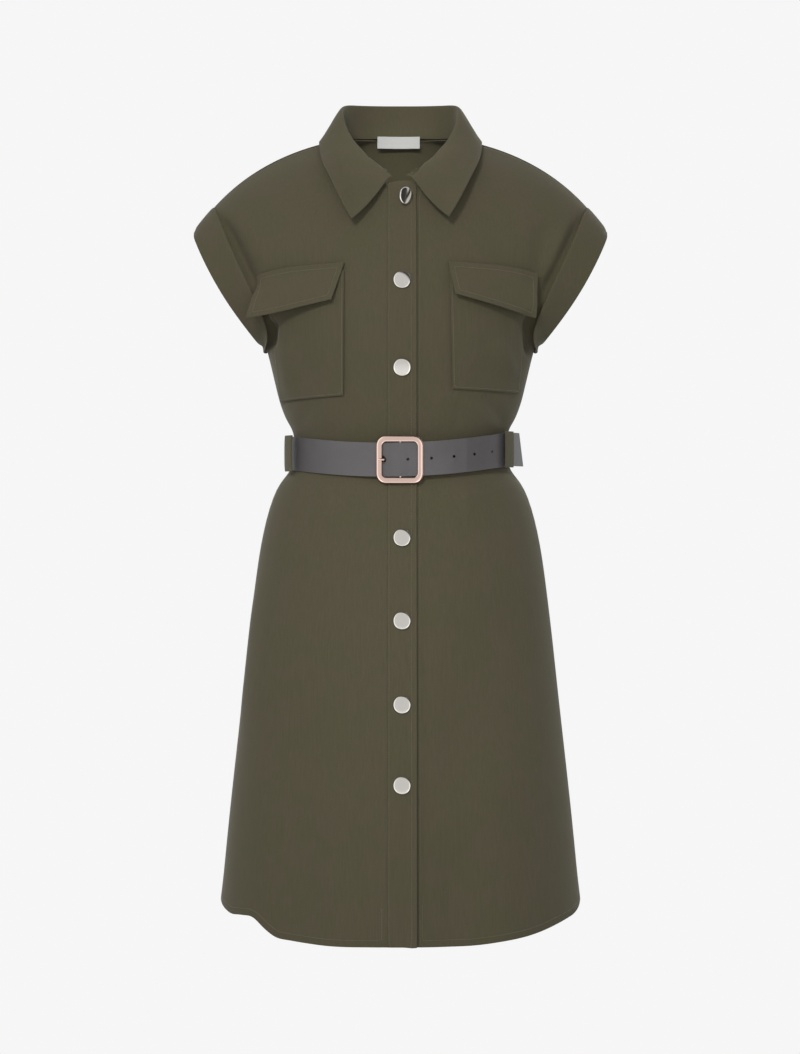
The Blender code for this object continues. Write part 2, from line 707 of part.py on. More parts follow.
def neck_line():
    """The neck seam as a dense line from the -X front end to the +X one, and its arc lengths
    from the centre back at each collar station."""
    ups = np.linspace(along(NECK_BACK), neck_up(0.0085), 600)
    half = dress(0.0, ups)
    arcs = np.concatenate([[0], np.cumsum(np.linalg.norm(np.diff(half, axis=0), axis=1))])
    at_station = np.interp([-s.up for s in COLLAR], -ups, arcs)
    return both_halves(half, (-1, 1, 1)), both_halves(arcs, -1), at_station


def band_below(x):
    """How far the upper front lies outside the dress surface under the collar."""
    if x < 0:
        return float(lap_lift(x))
    share = min(1.0, max(0.0, (x - BAND_WIDTH / 2 - BAND_SHIFT) / 0.012))
    return LAP * (1 - share * share * (3 - 2 * share))


def stand_clear(point):
    """A point of the collar's fall, pushed off the dress where it would sink into it."""
    mirror = np.array((math.copysign(1, point[0]), 1, 1))
    across, up = closest(point * mirror)
    normal = outward(across, up)
    depth = (point * mirror - dress(across, up)) @ normal
    short = COLLAR_LOW + band_below(point[0]) - depth
    return point + mirror * normal * max(0.0, short)


def collar_grid():
    """Grid of the collar: up the stand, over the fold and down the fall."""
    line, arcs, at_station = neck_line()
    knots = both_halves(at_station, -1)
    places = np.linspace(knots[0], knots[-1], COLLAR_COLUMNS)
    folds = through(both_halves([s.fold for s in COLLAR], (-1, 1, 1)), knots, places)
    edges = through(both_halves([s.edge for s in COLLAR], (-1, 1, 1)), knots, places)
    necks = np.stack([np.interp(places, arcs, line[:, n]) for n in range(3)], 1)
    level = necks * (1, 1, 0)
    necks = necks - level / np.linalg.norm(level, axis=1, keepdims=True) * SEAM_IN
    necks[:, 2] += np.interp(np.abs(places), (0.5 * knots[-1], knots[-1]), SEAM_RISE)
    columns = []
    for neck, fold, edge in zip(necks, folds, edges):
        rise, fall = fold - neck, edge - fold
        height, reach = np.linalg.norm(rise), np.linalg.norm(fall)
        out = fall - rise * (fall @ rise) / height**2
        out /= np.linalg.norm(out)
        top = fold + out * ROLL / 2
        near = neck + rise * max(0.35, 1 - ROLL / height * 0.45)
        far = top + out * ROLL / 2 + fall / reach * ROLL * 0.35
        bulge = np.cross(np.cross(fall, rise), fall)
        bulge = bulge / np.linalg.norm(bulge) * reach * 0.05
        falls = [far, far + (edge - far) * 0.33 + bulge * 0.8,
                 far + (edge - far) * 0.67 + bulge, edge]
        columns.append([neck, neck + (near - neck) * 0.55, near, top,
                        *(stand_clear(p) for p in falls)])
    return np.swapaxes(np.array(columns), 0, 1)


def add_collar(material, parent):
    """The grid is the face that shows; the cloth's thickness lies inside the fold."""
    grid = collar_grid()
    normal = np.cross(np.gradient(grid, axis=1), np.gradient(grid, axis=0))
    normal /= np.linalg.norm(normal, axis=2, keepdims=True)
    add_shell("collar", grid, grid - normal * COLLAR_WALL, material, parent)


# ---------------------------------------------------------------- chest pockets and flaps
# A pocket's edges as seen from the front, one line across it a row: how far from the centre
# plane and how high it starts and ends.
Line = namedtuple("Line", "level x_in z_in x_out z_out")
POCKETS = {
    1: (
        Line(0.00, 0.0545, -0.1560, 0.1500, -0.1680),
        Line(0.45, 0.0560, -0.2140, 0.1385, -0.2200),
        Line(1.00, 0.0573, -0.2875, 0.1325, -0.2905),
    ),
    -1: (
        Line(0.00, 0.0625, -0.1560, 0.1570, -0.1700),
        Line(0.45, 0.0628, -0.2160, 0.1420, -0.2250),
        Line(1.00, 0.0630, -0.2950, 0.1345, -0.2995),
    ),
}
# A flap's upper edge, its stitch line and its free edge, how far each end hangs forward of the
# pocket, and how far the outer end swings out beyond the point it hangs over.
Flap = namedtuple("Flap", "level x_in z_in x_out z_out hang_in hang_out swing")
FLAPS = {
    1: (
        Flap(0.00, 0.0529, -0.1462, 0.1545, -0.1575, 0.0, 0.0008, 0.0),
        Flap(0.18, 0.0540, -0.1540, 0.1545, -0.1660, 0.0, 0.0014, 0.0),
        Flap(1.00, 0.0600, -0.1830, 0.1490, -0.2055, 0.0070, 0.0180, 0.0020),
    ),
    -1: (
        Flap(0.00, 0.0618, -0.1470, 0.1615, -0.1590, 0.0, 0.0008, 0.0),
        Flap(0.18, 0.0640, -0.1550, 0.1600, -0.1690, 0.0, 0.0020, 0.0010),
        Flap(1.00, 0.0757, -0.1890, 0.1570, -0.2055, 0.0070, 0.0270, 0.0160),
    ),
}
POCKET_LIFT = WALL + 0.0013
EDGE_DIP = 0.006        # the flap's upper edge sags towards its outer end


def pocket_faces(side):
    """Both faces of a patch pocket, sewn flat on the front."""
    rows = POCKETS[side]
    levels = [row.level for row in rows]
    over = np.linspace(0, 1, 8)
    outer, inner = [], []
    for level in np.linspace(0, 1, 8):
        x_in, z_in, x_out, z_out = (np.interp(level, levels, [row[n] for row in rows])
                                    for n in range(1, 5))
        across, up = find_seen((x_in + (x_out - x_in) * over) * side, z_in + (z_out - z_in) * over)
        lift = np.full(8, POCKET_LIFT)
        if side < 0:
            lift = lift + lap_lift(dress(across, up)[:, 0])
        faces = faces_of(across, up, lift, WALL)
        outer.append(faces[0])
        inner.append(faces[1])
    return outer, inner


def flap_faces(side):
    """Both faces of a pocket flap, which hangs from its stitched upper edge."""
    rows = FLAPS[side]
    levels = [row.level for row in rows]
    over = np.linspace(0, 1, 9)
    outer, inner = [], []
    for level in (0.0, 0.18, 0.42, 0.7, 1.0):
        x_in, z_in, x_out, z_out, hang_in, hang_out, swing = (
            np.interp(level, levels, [row[n] for row in rows]) for n in range(1, 8))
        height = z_in + (z_out - z_in) * over
        height = height + EDGE_DIP * np.sin(math.pi * over) * over * (1 - level)
        across, up = find_seen((x_in + (x_out - x_in) * over) * side, height)
        lift = POCKET_LIFT + LIE + DOUBLE
        if side < 0:
            lift = lift + lap_lift(dress(across, up)[:, 0])
        away = np.zeros((len(over), 3))
        away[:, 0] = side * swing * over**3
        away[:, 1] = -hang_in - (hang_out - hang_in) * over**1.5
        for face, points in zip((outer, inner), faces_of(across, up, lift, DOUBLE)):
            face.append(points + away)
    return outer, inner


def add_pockets(material, parent):
    for name, side in (("left", 1), ("right", -1)):
        add_shell(f"pocket_{name}", *pocket_faces(side), material, parent)
        add_shell(f"flap_{name}", *flap_faces(side), material, parent)


# ---------------------------------------------------------------- belt
BELT_OFF = 0.0052       # inner face of the belt outside the waist ring
FRONT_EXTRA = 0.0024    # and this much more in front, over the bands and a button
LAYER = BELT_THICK + 0.0006
BAR_RISE = 0.0022       # how far the tongue is pushed out where it crosses the centre bar
LEAVE = 73              # the tongue leaves the waist here, in degrees round from the front
TONGUE_RUN = 0.046      # and runs on this far, straight
TONGUE_CUT = 0.014      # its end is cut at a slant
HOLE_PITCH = 0.0258
FIRST_HOLE = -0.0180    # the prong's hole, from the centre bar
FREE_HOLES = 5
HOLE_RADIUS = 0.0017
WAIST = TRUNK[NAMES.index("waist")]


def waist_ring(turn):
    """Centre line point and outward direction of the belt's path, turn in degrees from the
    front towards +X, all the way round."""
    side = math.radians(turn)
    depth = WAIST.back if math.cos(side) < 0 else WAIST.front
    x, y = math.sin(side) * WAIST.half_width, -math.cos(side) * depth
    centre_z = WAIST.back_z if math.cos(side) < 0 else WAIST.front_z
    z = WAIST.side_z + (centre_z - WAIST.side_z) * math.cos(side) ** 2 + BELT_TILT * x
    normal = np.array((x / WAIST.half_width**2, y / depth**2, 0))
    return np.array((x, y, z)), normal / np.linalg.norm(normal)


def belt_offset(turn, outer_layer):
    """How far the belt's inner face stands outside the waist ring."""
    offset = BELT_OFF + FRONT_EXTRA * max(0.0, math.cos(math.radians(turn))) ** 6
    if outer_layer:
        arc = math.sin(math.radians(min(90, turn))) * WAIST.half_width
        offset += LAYER / (1 + math.exp(-(arc + 0.036) / 0.0035))
        offset += BAR_RISE * math.exp(-(arc / 0.0065) ** 2)
    return offset


INNER_TURNS = (2.4, 7, *range(14, 300, 9))
OUTER_TURNS = (-55, -46, -37, -29, -23, -19, -16, -13, -10, -7.5, -5.5, -4, -2.7, -1.4, 0,
               1.4, 2.7, 4, 5.5, 8, 11, 15, 21, 28, 35, 43, 51, 59, 66)


def belt_path():
    """Stations along the belt, a point of its inner face and the way out. It starts at the
    centre bar, goes round the back, crosses the bar and ends in the straight tongue."""
    path = []
    for turns, outer_layer in ((INNER_TURNS, False), ((*OUTER_TURNS, LEAVE), True)):
        for turn in turns:
            point, normal = waist_ring(turn)
            path.append((point + normal * belt_offset(turn, outer_layer), normal))
    start, normal = path[-1]
    onward = np.array((-normal[1], normal[0], 0))
    for step in (0.25, 0.5, 0.75, 1.0):
        path.append((start + onward * TONGUE_RUN * step, normal))
    return path


def add_belt(material, parent):
    outer, inner = [], []
    path = belt_path()
    for index, (point, normal) in enumerate(path):
        onward = np.array((-normal[1], normal[0], 0))
        cut = TONGUE_CUT * max(0, index - len(path) + 3) / 2
        row = []
        for share in (-0.5, 0.0, 0.5):
            rise = np.array((0, 0, share * BELT_WIDTH))
            row.append(point + rise - onward * cut * (share + 0.5))
        inner.append(row)
        outer.append([p + normal * BELT_THICK for p in row])
    belt = add_object("belt", shell_mesh("belt", outer, inner), material, parent)
    cut_holes(belt, parent)


def hole_turns():
    """Turns of the prong's hole and of the free holes, a pitch apart round the front."""
    turns = np.radians(np.linspace(-30, 90, 241))
    x = np.sin(turns) * (WAIST.half_width + BELT_OFF)
    y = -np.cos(turns) * (WAIST.front + BELT_OFF)
    arcs = np.concatenate([[0], np.cumsum(np.hypot(np.diff(x), np.diff(y)))])
    arcs -= np.interp(0, turns, arcs)
    wanted = [FIRST_HOLE + HOLE_PITCH * n for n in range(FREE_HOLES + 1)]
    return [math.degrees(float(np.interp(a, arcs, turns))) for a in wanted]


def cut_holes(belt, parent):
    """One joined cutter for all holes, and a Boolean that takes it from the tongue."""
    bm = bmesh.new()
    for number, turn in enumerate(hole_turns()):
        point, normal = waist_ring(turn)
        middle = point + normal * (belt_offset(turn, True) + BELT_THICK / 2)
        facing = Vector(normal).to_track_quat("Z", "Y").to_matrix().to_4x4()
        facing.translation = Vector(middle)
        radius = HOLE_RADIUS + (0.0012 if number == 0 else 0)
        depth = BELT_THICK + (0.0080 if number == 0 else 0.0008)
        bmesh.ops.create_cone(bm, cap_ends=True, segments=12, radius1=radius, radius2=radius,
                              depth=depth, matrix=facing)
    mesh = bpy.data.meshes.new("hole_cutter")
    bm.to_mesh(mesh)
    bm.free()
    cutter = bpy.data.objects.new("hole_cutter", mesh)
    bpy.context.scene.collection.objects.link(cutter)
    cutter.parent = parent
    cutter.hide_render = True
    cutter.display_type = "WIRE"
    cut = belt.modifiers.new("Holes", "BOOLEAN")
    cut.operation = "DIFFERENCE"
    cut.object = cutter


# ---------------------------------------------------------------- buckle
def front_plane(offset):
    """Depth in Y of a face this far outside the belt's inner face, at the centre front."""
    return -(WAIST.front + BELT_OFF + FRONT_EXTRA + offset)


BUCKLE_BAR = 0.0068     # width of the frame's sides
BUCKLE_THICK = 0.0034
BUCKLE_BACK = LAYER + BELT_THICK + 0.0006
BAR_RADIUS = 0.0014


def rounded_square(half, radius, steps=5):
    """Outline points of a square with round corners, anticlockwise in X and Z."""
    points = []
    for corner in range(4):
        turn = math.pi / 2 * corner
        middle = np.array((math.cos(turn + math.pi / 4), math.sin(turn + math.pi / 4)))
        middle = middle * (half - radius) * math.sqrt(2)
        for step in range(steps):
            angle = turn + math.pi / 2 * step / (steps - 1)
            points.append(middle + radius * np.array((math.cos(angle), math.sin(angle))))
    return points


def add_buckle(material, parent):
    """The frame is a rounded bar swept round a rounded square, with its centre bar joined on."""
    height = WAIST.front_z
    half_bar, half_thick = BUCKLE_BAR / 2, BUCKLE_THICK / 2
    middle_y = front_plane(BUCKLE_BACK + half_thick)
    section = [(math.cos(a) * half_bar, math.sin(a) * half_thick)
               for a in np.radians(np.arange(22.5, 360, 45))]
    bm = bmesh.new()
    loops = []
    for push, out in section:
        outline = rounded_square(BUCKLE_SIZE / 2 - half_bar + push, 0.0105 + push)
        loops.append([bm.verts.new((x, middle_y - out, z + height)) for x, z in outline])
    count = len(loops[0])
    for a, b in zip(loops, loops[1:] + loops[:1]):
        for k in range(count):
            n = (k + 1) % count
            bm.faces.new((a[k], a[n], b[n], b[k]))
    bmesh.ops.recalc_face_normals(bm, faces=bm.faces)
    mesh = bpy.data.meshes.new("buckle_frame")
    bm.to_mesh(mesh)
    bm.free()
    mesh.shade_smooth()
    frame = add_object("buckle_frame", mesh, material, parent)
    bar = add_centre_bar(height, middle_y)
    join = frame.modifiers.new("Centre bar", "BOOLEAN")
    join.operation = "UNION"
    join.object = bar
    return frame


def sweep(name, path, radius, sides=8):
    """A closed round rod along a path in a plane that holds the X or Z axis."""
    path = [Vector(p) for p in path]
    bm = bmesh.new()
    rings = []
    for k, point in enumerate(path):
        ahead = path[min(k + 1, len(path) - 1)] - path[max(k - 1, 0)]
        turn = ahead.to_track_quat("Z", "Y")
        ring = []
        for n in range(sides):
            angle = math.tau * n / sides
            offset = turn @ Vector((math.cos(angle) * radius, math.sin(angle) * radius, 0))
            ring.append(bm.verts.new(point + offset))
        rings.append(ring)
    for a, b in zip(rings, rings[1:]):
        for k in range(sides):
            n = (k + 1) % sides
            bm.faces.new((a[k], a[n], b[n], b[k]))
    bm.faces.new(reversed(rings[0]))
    bm.faces.new(rings[-1])
    bmesh.ops.recalc_face_normals(bm, faces=bm.faces)
    mesh = bpy.data.meshes.new(name)
    bm.to_mesh(mesh)
    bm.free()
    return mesh


def add_centre_bar(height, frame_y):
    """The bar behind the strap, whose ends come forward into the frame above and below it."""
    reach = BUCKLE_SIZE / 2 - BUCKLE_BAR / 2
    behind = front_plane(0.0019)
    path = [
        (0, frame_y, height - reach), (0, frame_y + 0.0026, height - reach + 0.0012),
        (0, behind, height - BELT_WIDTH / 2 - 0.0004), (0, behind, height),
        (0, behind, height + BELT_WIDTH / 2 + 0.0004),
        (0, frame_y + 0.0026, height + reach - 0.0012), (0, frame_y, height + reach),
    ]
    mesh = sweep("centre_bar", path, BAR_RADIUS)
    bar = bpy.data.objects.new("centre_bar", mesh)
    bpy.context.scene.collection.objects.link(bar)
    bar.hide_render = True
    bar.display_type = "WIRE"
    return bar


def add_prong(material, parent):
    """The prong leaves the centre bar behind the strap and comes through its hole onto the
    frame's side."""
    height = WAIST.front_z
    radius = 0.0009
    front = BUCKLE_BACK + BUCKLE_THICK + radius + 0.0004
    path = [
        (-0.0026, front_plane(0.0016), height), (-0.0090, front_plane(0.0008), height),
        (-0.0152, front_plane(0.0007), height), (-0.0166, front_plane(0.0018), height),
        (-0.0174, front_plane(0.0046), height), (-0.0179, front_plane(front - 0.0014), height),
        (-0.0189, front_plane(front), height), (-0.0208, front_plane(front), height),
        (-0.0250, front_plane(front - 0.0002), height),
    ]
    mesh = sweep("buckle_prong", path, radius)
    mesh.shade_smooth()
    return add_object("buckle_prong", mesh, material, parent)


# ---------------------------------------------------------------- belt loops
# A narrow strip over the belt at each side: where it is, and how far its outer face stands off
# the waist ring as it crosses the belt. The one on the +X side also spans the tongue.
Loop = namedtuple("Loop", "name turn crest")
LOOPS = (Loop("loop_left", 70, 0.0145), Loop("loop_right", -74.5, 0.0150))
LOOP_WIDTH = 0.015
LOOP_REST = 0.0012
# Up the loop: height from the belt's middle, and its stand-off as a share of the crest.
LOOP_LINE = (
    (-0.0265, 0.0), (-0.0235, 0.0), (-0.0205, 0.95), (-0.0150, 0.99), (-0.0070, 1.0),
    (0.0070, 1.0), (0.0150, 0.99), (0.0205, 0.95), (0.0240, 0.0), (0.0270, 0.0),
)


def add_loops(material, parent):
    for loop in LOOPS:
        middle, normal = waist_ring(loop.turn)
        onward = np.array((-normal[1], normal[0], 0))
        columns = []
        for share in (-0.5, 0.0, 0.5):
            foot = middle + onward * share * LOOP_WIDTH
            line = []
            for rise, part in LOOP_LINE:
                turn = math.degrees(math.atan2(foot[0], -foot[1]))
                place = find_turned(np.array([turn]), np.array([foot[2] + rise]))
                lying = lifted(*place, [LOOP_REST + DOUBLE])[0] - foot
                if part:
                    line.append((max(lying @ normal, loop.crest * part), rise))
                else:
                    line.append((lying @ normal, lying[2]))
            columns.append((foot, line))
        outer, inner = [], []
        for foot, line in columns:
            line = np.array(line)
            run = np.gradient(line, axis=0)
            turned = np.stack([run[:, 1], -run[:, 0]], 1)
            turned /= np.linalg.norm(turned, axis=1, keepdims=True)
            for face, depth in ((outer, 0.0), (inner, DOUBLE)):
                flat = line - turned * depth
                face.append([foot + normal * off + np.array((0, 0, rise)) for off, rise in flat])
        add_shell(loop.name, outer, inner, material, parent)


# ---------------------------------------------------------------- buttons
# The fourth lies behind the belt buckle.
BUTTON_HEIGHTS = (-0.0725, -0.1674, -0.2640, -0.3600, -0.4545, -0.5465, -0.6395, -0.7285)
BUTTON_PROFILE = (
    (0.0, 0.0), (0.93 * BUTTON_RADIUS, 0.0), (BUTTON_RADIUS, 0.0010),
    (0.97 * BUTTON_RADIUS, 0.0024), (0.86 * BUTTON_RADIUS, 0.0030), (0.0, 0.0033),
)
BUTTON_REST = 0.0006
HIDDEN_REST = 0.0016    # the waist bends in behind the fourth
TOP_FACING = Vector((0.70, -0.70, -0.10)).normalized()  # the first is tipped on its shank
TOP_SHIFT = 0.0030      # and stands this much further towards +X
TOP_DROP = 0.0026       # it hangs from this much lower, so that its middle is in the row


def add_buttons(material, parent):
    for number, height in enumerate(BUTTON_HEIGHTS, 1):
        x, z = BAND_SHIFT, height
        if number == 1:
            x, z = x + TOP_SHIFT, z - TOP_DROP
        across, up = find_seen(np.array([x]), np.array([z]))
        rest = HIDDEN_REST if number == 4 else BUTTON_REST
        facing = Vector(outward(across, up)[0])
        if number == 1:
            rest += 0.9 * BUTTON_RADIUS * math.sin(facing.angle(TOP_FACING))
            facing = TOP_FACING
        point = lifted(across, up, np.array([LAP + rest]))[0]
        add_lathe(f"button_{number}", BUTTON_PROFILE, 16, point, facing, material, parent)


# ---------------------------------------------------------------- label
LABEL_WIDTH = 0.049
LABEL_SHIFT = -0.0022
LABEL_ROWS = ((-0.0055, 0.0502), (0.0010, 0.0504), (0.0085, 0.0512))


def add_label(material, parent):
    """A blank woven tab inside the centre back, over the collar seam."""
    rows = []
    for z, y in LABEL_ROWS:
        xs = np.linspace(-LABEL_WIDTH / 2, LABEL_WIDTH / 2, 7) + LABEL_SHIFT
        rows.append([(x, y - 5.5 * x * x, z) for x in xs])
    add_wall("label", np.array(rows), 0.0006, material, parent, flip=True)


# ---------------------------------------------------------------- assembly
def main():
    clear_scene()
    parent = bpy.data.objects.new("shirt_dress", None)
    bpy.context.scene.collection.objects.link(parent)
    cloth = finish_material("olive_cloth", OLIVE, 0.85)
    belt_finish = finish_material("belt_grey", BELT_GREY, 0.5)
    nickel = finish_material("nickel", NICKEL, 0.25, 1.0)
    rose = finish_material("rose_gold", ROSE_GOLD, 0.15, 1.0)
    label = finish_material("label_white", LABEL_WHITE, 0.6)
    add_fronts(cloth, parent)
    add_back(cloth, parent)
    add_bands(cloth, parent)
    add_cuffs(cloth, parent)
    add_collar(cloth, parent)
    add_pockets(cloth, parent)
    add_belt(belt_finish, parent)
    add_buckle(rose, parent)
    add_prong(rose, parent)
    add_loops(cloth, parent)
    add_buttons(nickel, parent)
    add_label(label, parent)


main()
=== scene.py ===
# %% [markdown]
# # A belted shirt dress
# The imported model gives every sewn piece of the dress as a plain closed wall. This lesson turns
# those walls into cloth: it takes the face of each wall that shows, smooths it, lays soft folds
# in it, gives it a hem and its stitches, and then makes the belt, buckle, buttons and label.
# Everything is in metres. The front faces -Y, +Z is up, and +X is on the right of a viewer.

# %% Load the frame
import contextlib
import math

import bmesh
import bpy
import numpy as np
from mathutils import Matrix, Vector
from mathutils.bvhtree import BVHTree
from mathutils.kdtree import KDTree


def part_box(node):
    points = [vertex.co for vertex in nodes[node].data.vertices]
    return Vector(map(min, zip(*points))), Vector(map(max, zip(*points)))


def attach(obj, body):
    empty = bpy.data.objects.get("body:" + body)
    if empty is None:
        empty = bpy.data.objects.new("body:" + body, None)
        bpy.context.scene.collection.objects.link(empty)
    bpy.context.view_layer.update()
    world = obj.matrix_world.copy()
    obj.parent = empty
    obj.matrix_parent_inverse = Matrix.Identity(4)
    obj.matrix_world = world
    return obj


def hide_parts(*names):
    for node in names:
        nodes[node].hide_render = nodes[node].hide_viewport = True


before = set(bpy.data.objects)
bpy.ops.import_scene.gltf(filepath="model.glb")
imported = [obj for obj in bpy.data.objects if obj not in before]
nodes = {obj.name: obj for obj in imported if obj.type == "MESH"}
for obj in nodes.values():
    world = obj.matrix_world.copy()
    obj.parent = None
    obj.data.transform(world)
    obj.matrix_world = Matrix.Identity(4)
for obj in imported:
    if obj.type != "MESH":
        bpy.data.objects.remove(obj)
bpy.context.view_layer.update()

# %% [markdown]
# ## The camera
# The dress is looked at straight from the front, from far enough away that it hardly shows any
# perspective. A long lens on a camera at the middle of the dress does that. The camera is made
# first, because every later decision about detail depends on how large a millimetre is in it.

# %% Make the camera
VIEW_HEIGHT = 1.2046        # metres seen from top to bottom, at the middle of the dress
DISTANCE = 4.5
SENSOR = 36.0
camera = bpy.data.objects.new("camera", bpy.data.cameras.new("camera"))
bpy.context.scene.collection.objects.link(camera)
camera.data.sensor_width = SENSOR
camera.data.lens = SENSOR * DISTANCE / VIEW_HEIGHT
camera.location = (-0.0006, -DISTANCE, -0.4423)
camera.rotation_euler = (math.radians(90), 0, 0)
camera.data.clip_end = 60
bpy.context.scene.camera = camera
print("lens", round(camera.data.lens, 1), "mm")

# %% [markdown]
# ## Helpers for working as by hand
# An operator acts on all that is selected, and the frame comes in selected, so each step starts
# by selecting one thing only. Finished pieces ride on the one body of the dress, and the plain
# walls they stand for are hidden.

# %% Selecting, applying and handing over
def only(thing):
    bpy.ops.object.select_all(action="DESELECT")
    thing.select_set(True)
    bpy.context.view_layer.objects.active = thing


def link(name, data):
    thing = bpy.data.objects.new(name, data)
    bpy.context.scene.collection.objects.link(thing)
    return thing


@contextlib.contextmanager
def opened(mesh):
    """A mesh opened for editing, and written back afterwards."""
    bm = bmesh.new()
    bm.from_mesh(mesh)
    yield bm
    bm.to_mesh(mesh)
    bm.free()
    mesh.update()


def settle(name):
    """Names the piece just added and makes its place and turn its own."""
    piece = bpy.context.object
    piece.name = name
    bpy.ops.object.transform_apply(location=True, rotation=True, scale=True)
    return piece


def smooth_by_angle(thing, degrees):
    only(thing)
    bpy.ops.object.shade_smooth_by_angle(angle=math.radians(degrees))


def add_modifier(thing, kind, **settings):
    modifier = thing.modifiers.new(kind.title(), kind)
    for key, value in settings.items():
        setattr(modifier, key, value)
    return modifier


def apply_modifier(thing, kind, **settings):
    modifier = add_modifier(thing, kind, **settings)
    only(thing)
    bpy.ops.object.modifier_apply(modifier=modifier.name)


def hand_over(thing, material, finish, *stands_for):
    thing.data.materials.clear()
    thing.data.materials.append(material)
    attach(thing, "root")
    if stands_for:
        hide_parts(*stands_for)


def points_of(mesh, what="co"):
    flat = np.zeros(len(mesh.vertices) * 3, np.float32)
    mesh.vertices.foreach_get(what, flat)
    return flat.reshape(-1, 3).astype(float)


def normals_of(mesh):
    return points_of(mesh, "normal")


def set_points(mesh, points):
    mesh.vertices.foreach_set("co", points.astype(np.float32).ravel())
    mesh.update()


# %% [markdown]
# ## The cloth
# The dress is a matt olive crepe. Close to, it has a fine pebbled weave; from a few steps away
# faint upright slubs show, where a thread is thicker, and a slight drift between green and
# brown. All three are procedural patterns in object coordinates: a noise stretched along the
# grain for the slubs, a broad noise for the drift, and a very fine one for the pebbles. A sheen
# lifts the colour where the cloth turns away, as short fibres do.

# %% Node helper
class Nodes:
    """Adds shader nodes and links in few words."""

    def __init__(self, material):
        material.use_nodes = True
        self.tree = material.node_tree
        self.shader = self.tree.nodes["Principled BSDF"]

    def add(self, kind, inputs=(), **settings):
        node = self.tree.nodes.new(kind)
        for key, value in settings.items():
            setattr(node, key, value)
        for name, value in dict(inputs).items():
            if isinstance(value, bpy.types.NodeSocket):
                self.tree.links.new(value, node.inputs[name])
            else:
                node.inputs[name].default_value = value
        return node

    def object_points(self, scale=(1, 1, 1), turn=(0, 0, 0), shift=(0, 0, 0)):
        place = self.add("ShaderNodeTexCoord").outputs["Object"]
        return self.add("ShaderNodeMapping", {
            "Vector": place, "Scale": scale, "Rotation": turn, "Location": shift,
        }).outputs["Vector"]

    def noise(self, points, scale, detail=2.0, rough=0.5):
        return self.add("ShaderNodeTexNoise", {
            "Vector": points, "Scale": scale, "Detail": detail, "Roughness": rough,
        }).outputs["Fac"]

    def spread(self, value, low, high, to_low, to_high):
        return self.add("ShaderNodeMapRange", {
            "Value": value, "From Min": low, "From Max": high,
            "To Min": to_low, "To Max": to_high,
        }).outputs["Result"]

    def mix_colours(self, share, first, second):
        node = self.add("ShaderNodeMix", data_type="RGBA")
        for socket, value in ((node.inputs[0], share), (node.inputs[6], first),
                              (node.inputs[7], second)):
            if isinstance(value, bpy.types.NodeSocket):
                self.tree.links.new(value, socket)
            else:
                socket.default_value = value
        return node.outputs[2]

    def scaled_colour(self, colour, amount):
        return self.add("ShaderNodeVectorMath", {0: colour, "Scale": amount},
                        operation="SCALE").outputs[0]

    def bump(self, height, depth, strength=1.0, under=None):
        node = self.add("ShaderNodeBump", {
            "Height": height, "Distance": depth, "Strength": strength})
        if under is not None:
            self.tree.links.new(under, node.inputs["Normal"])
        return node.outputs["Normal"]

    def feed(self, socket, value):
        self.tree.links.new(value, self.shader.inputs[socket])

    def even(self, **looks):
        for name, value in looks.items():
            socket = name.replace("_", " ").title().replace("Ior", "IOR")
            self.shader.inputs[socket].default_value = value


# %% Cloth material
OLIVE_GREEN = (0.0800, 0.0740, 0.0430, 1)
OLIVE_BROWN = (0.0860, 0.0725, 0.0455, 1)
SLUB_ALONG = 26.0           # slubs a metre along the grain
SLUB_ACROSS = 620.0         # and across it
PEBBLE = 1500.0             # pebbles of the weave a metre
DRIFT = 22.0                # patches of greener and browner cloth a metre


def cloth_material(name, turn=(0, 0, 0), shift=(0, 0, 0)):
    material = bpy.data.materials.new(name)
    make = Nodes(material)
    grain = make.object_points((SLUB_ACROSS, SLUB_ACROSS, SLUB_ALONG), turn, shift)
    slub = make.noise(grain, 1.0, 3.0, 0.6)
    plain = make.object_points((1, 1, 1), turn, shift)
    drift = make.noise(plain, DRIFT, 3.0, 0.6)
    pebble = make.noise(plain, PEBBLE, 2.0, 0.5)
    colour = make.mix_colours(make.spread(drift, 0.35, 0.65, 0, 1), OLIVE_GREEN, OLIVE_BROWN)
    streaked = make.scaled_colour(colour, make.spread(slub, 0.30, 0.74, 0.94, 1.08))
    speckled = make.scaled_colour(streaked, make.spread(pebble, 0.3, 0.7, 0.93, 1.07))
    make.feed("Base Color", speckled)
    make.feed("Roughness", make.spread(pebble, 0.3, 0.7, 0.78, 0.92))
    make.even(specular_ior_level=0.25, sheen_weight=0.18, sheen_roughness=0.5,
              sheen_tint=(0.75, 0.72, 0.60, 1))
    fine = make.bump(pebble, 0.00020)
    make.feed("Normal", make.bump(slub, 0.00008, under=fine))
    return material


BODY_CLOTH = cloth_material("olive_crepe_body")
BAND_CLOTH = cloth_material("olive_crepe_bands", shift=(3.1, 1.7, 0.9))
POCKET_CLOTH = cloth_material("olive_crepe_pockets", shift=(7.3, 4.1, 2.2))
SIDEWAYS = (0, math.radians(90), 0)
COLLAR_CLOTH = cloth_material("olive_crepe_collar", turn=SIDEWAYS, shift=(1.3, 2.9, 5.1))
CUFF_CLOTH = cloth_material("olive_crepe_cuffs", turn=(0, math.radians(35), 0), shift=(5, 1, 3))
print("cloth finishes ready")

# %% [markdown]
# ## Thread
# The stitches are sewn with thread a little lighter than the cloth, so that each seam reads as a
# thin pale line.

# %% Thread material
THREAD_DARK = (0.105, 0.100, 0.066, 1)
THREAD_LIGHT = (0.150, 0.142, 0.098, 1)


def thread_material():
    material = bpy.data.materials.new("olive_thread")
    make = Nodes(material)
    twist = make.noise(make.object_points(), 2600.0)
    make.feed("Base Color", make.mix_colours(twist, THREAD_DARK, THREAD_LIGHT))
    make.even(roughness=0.6, sheen_weight=0.2)
    return material


THREAD = thread_material()
print("thread ready")

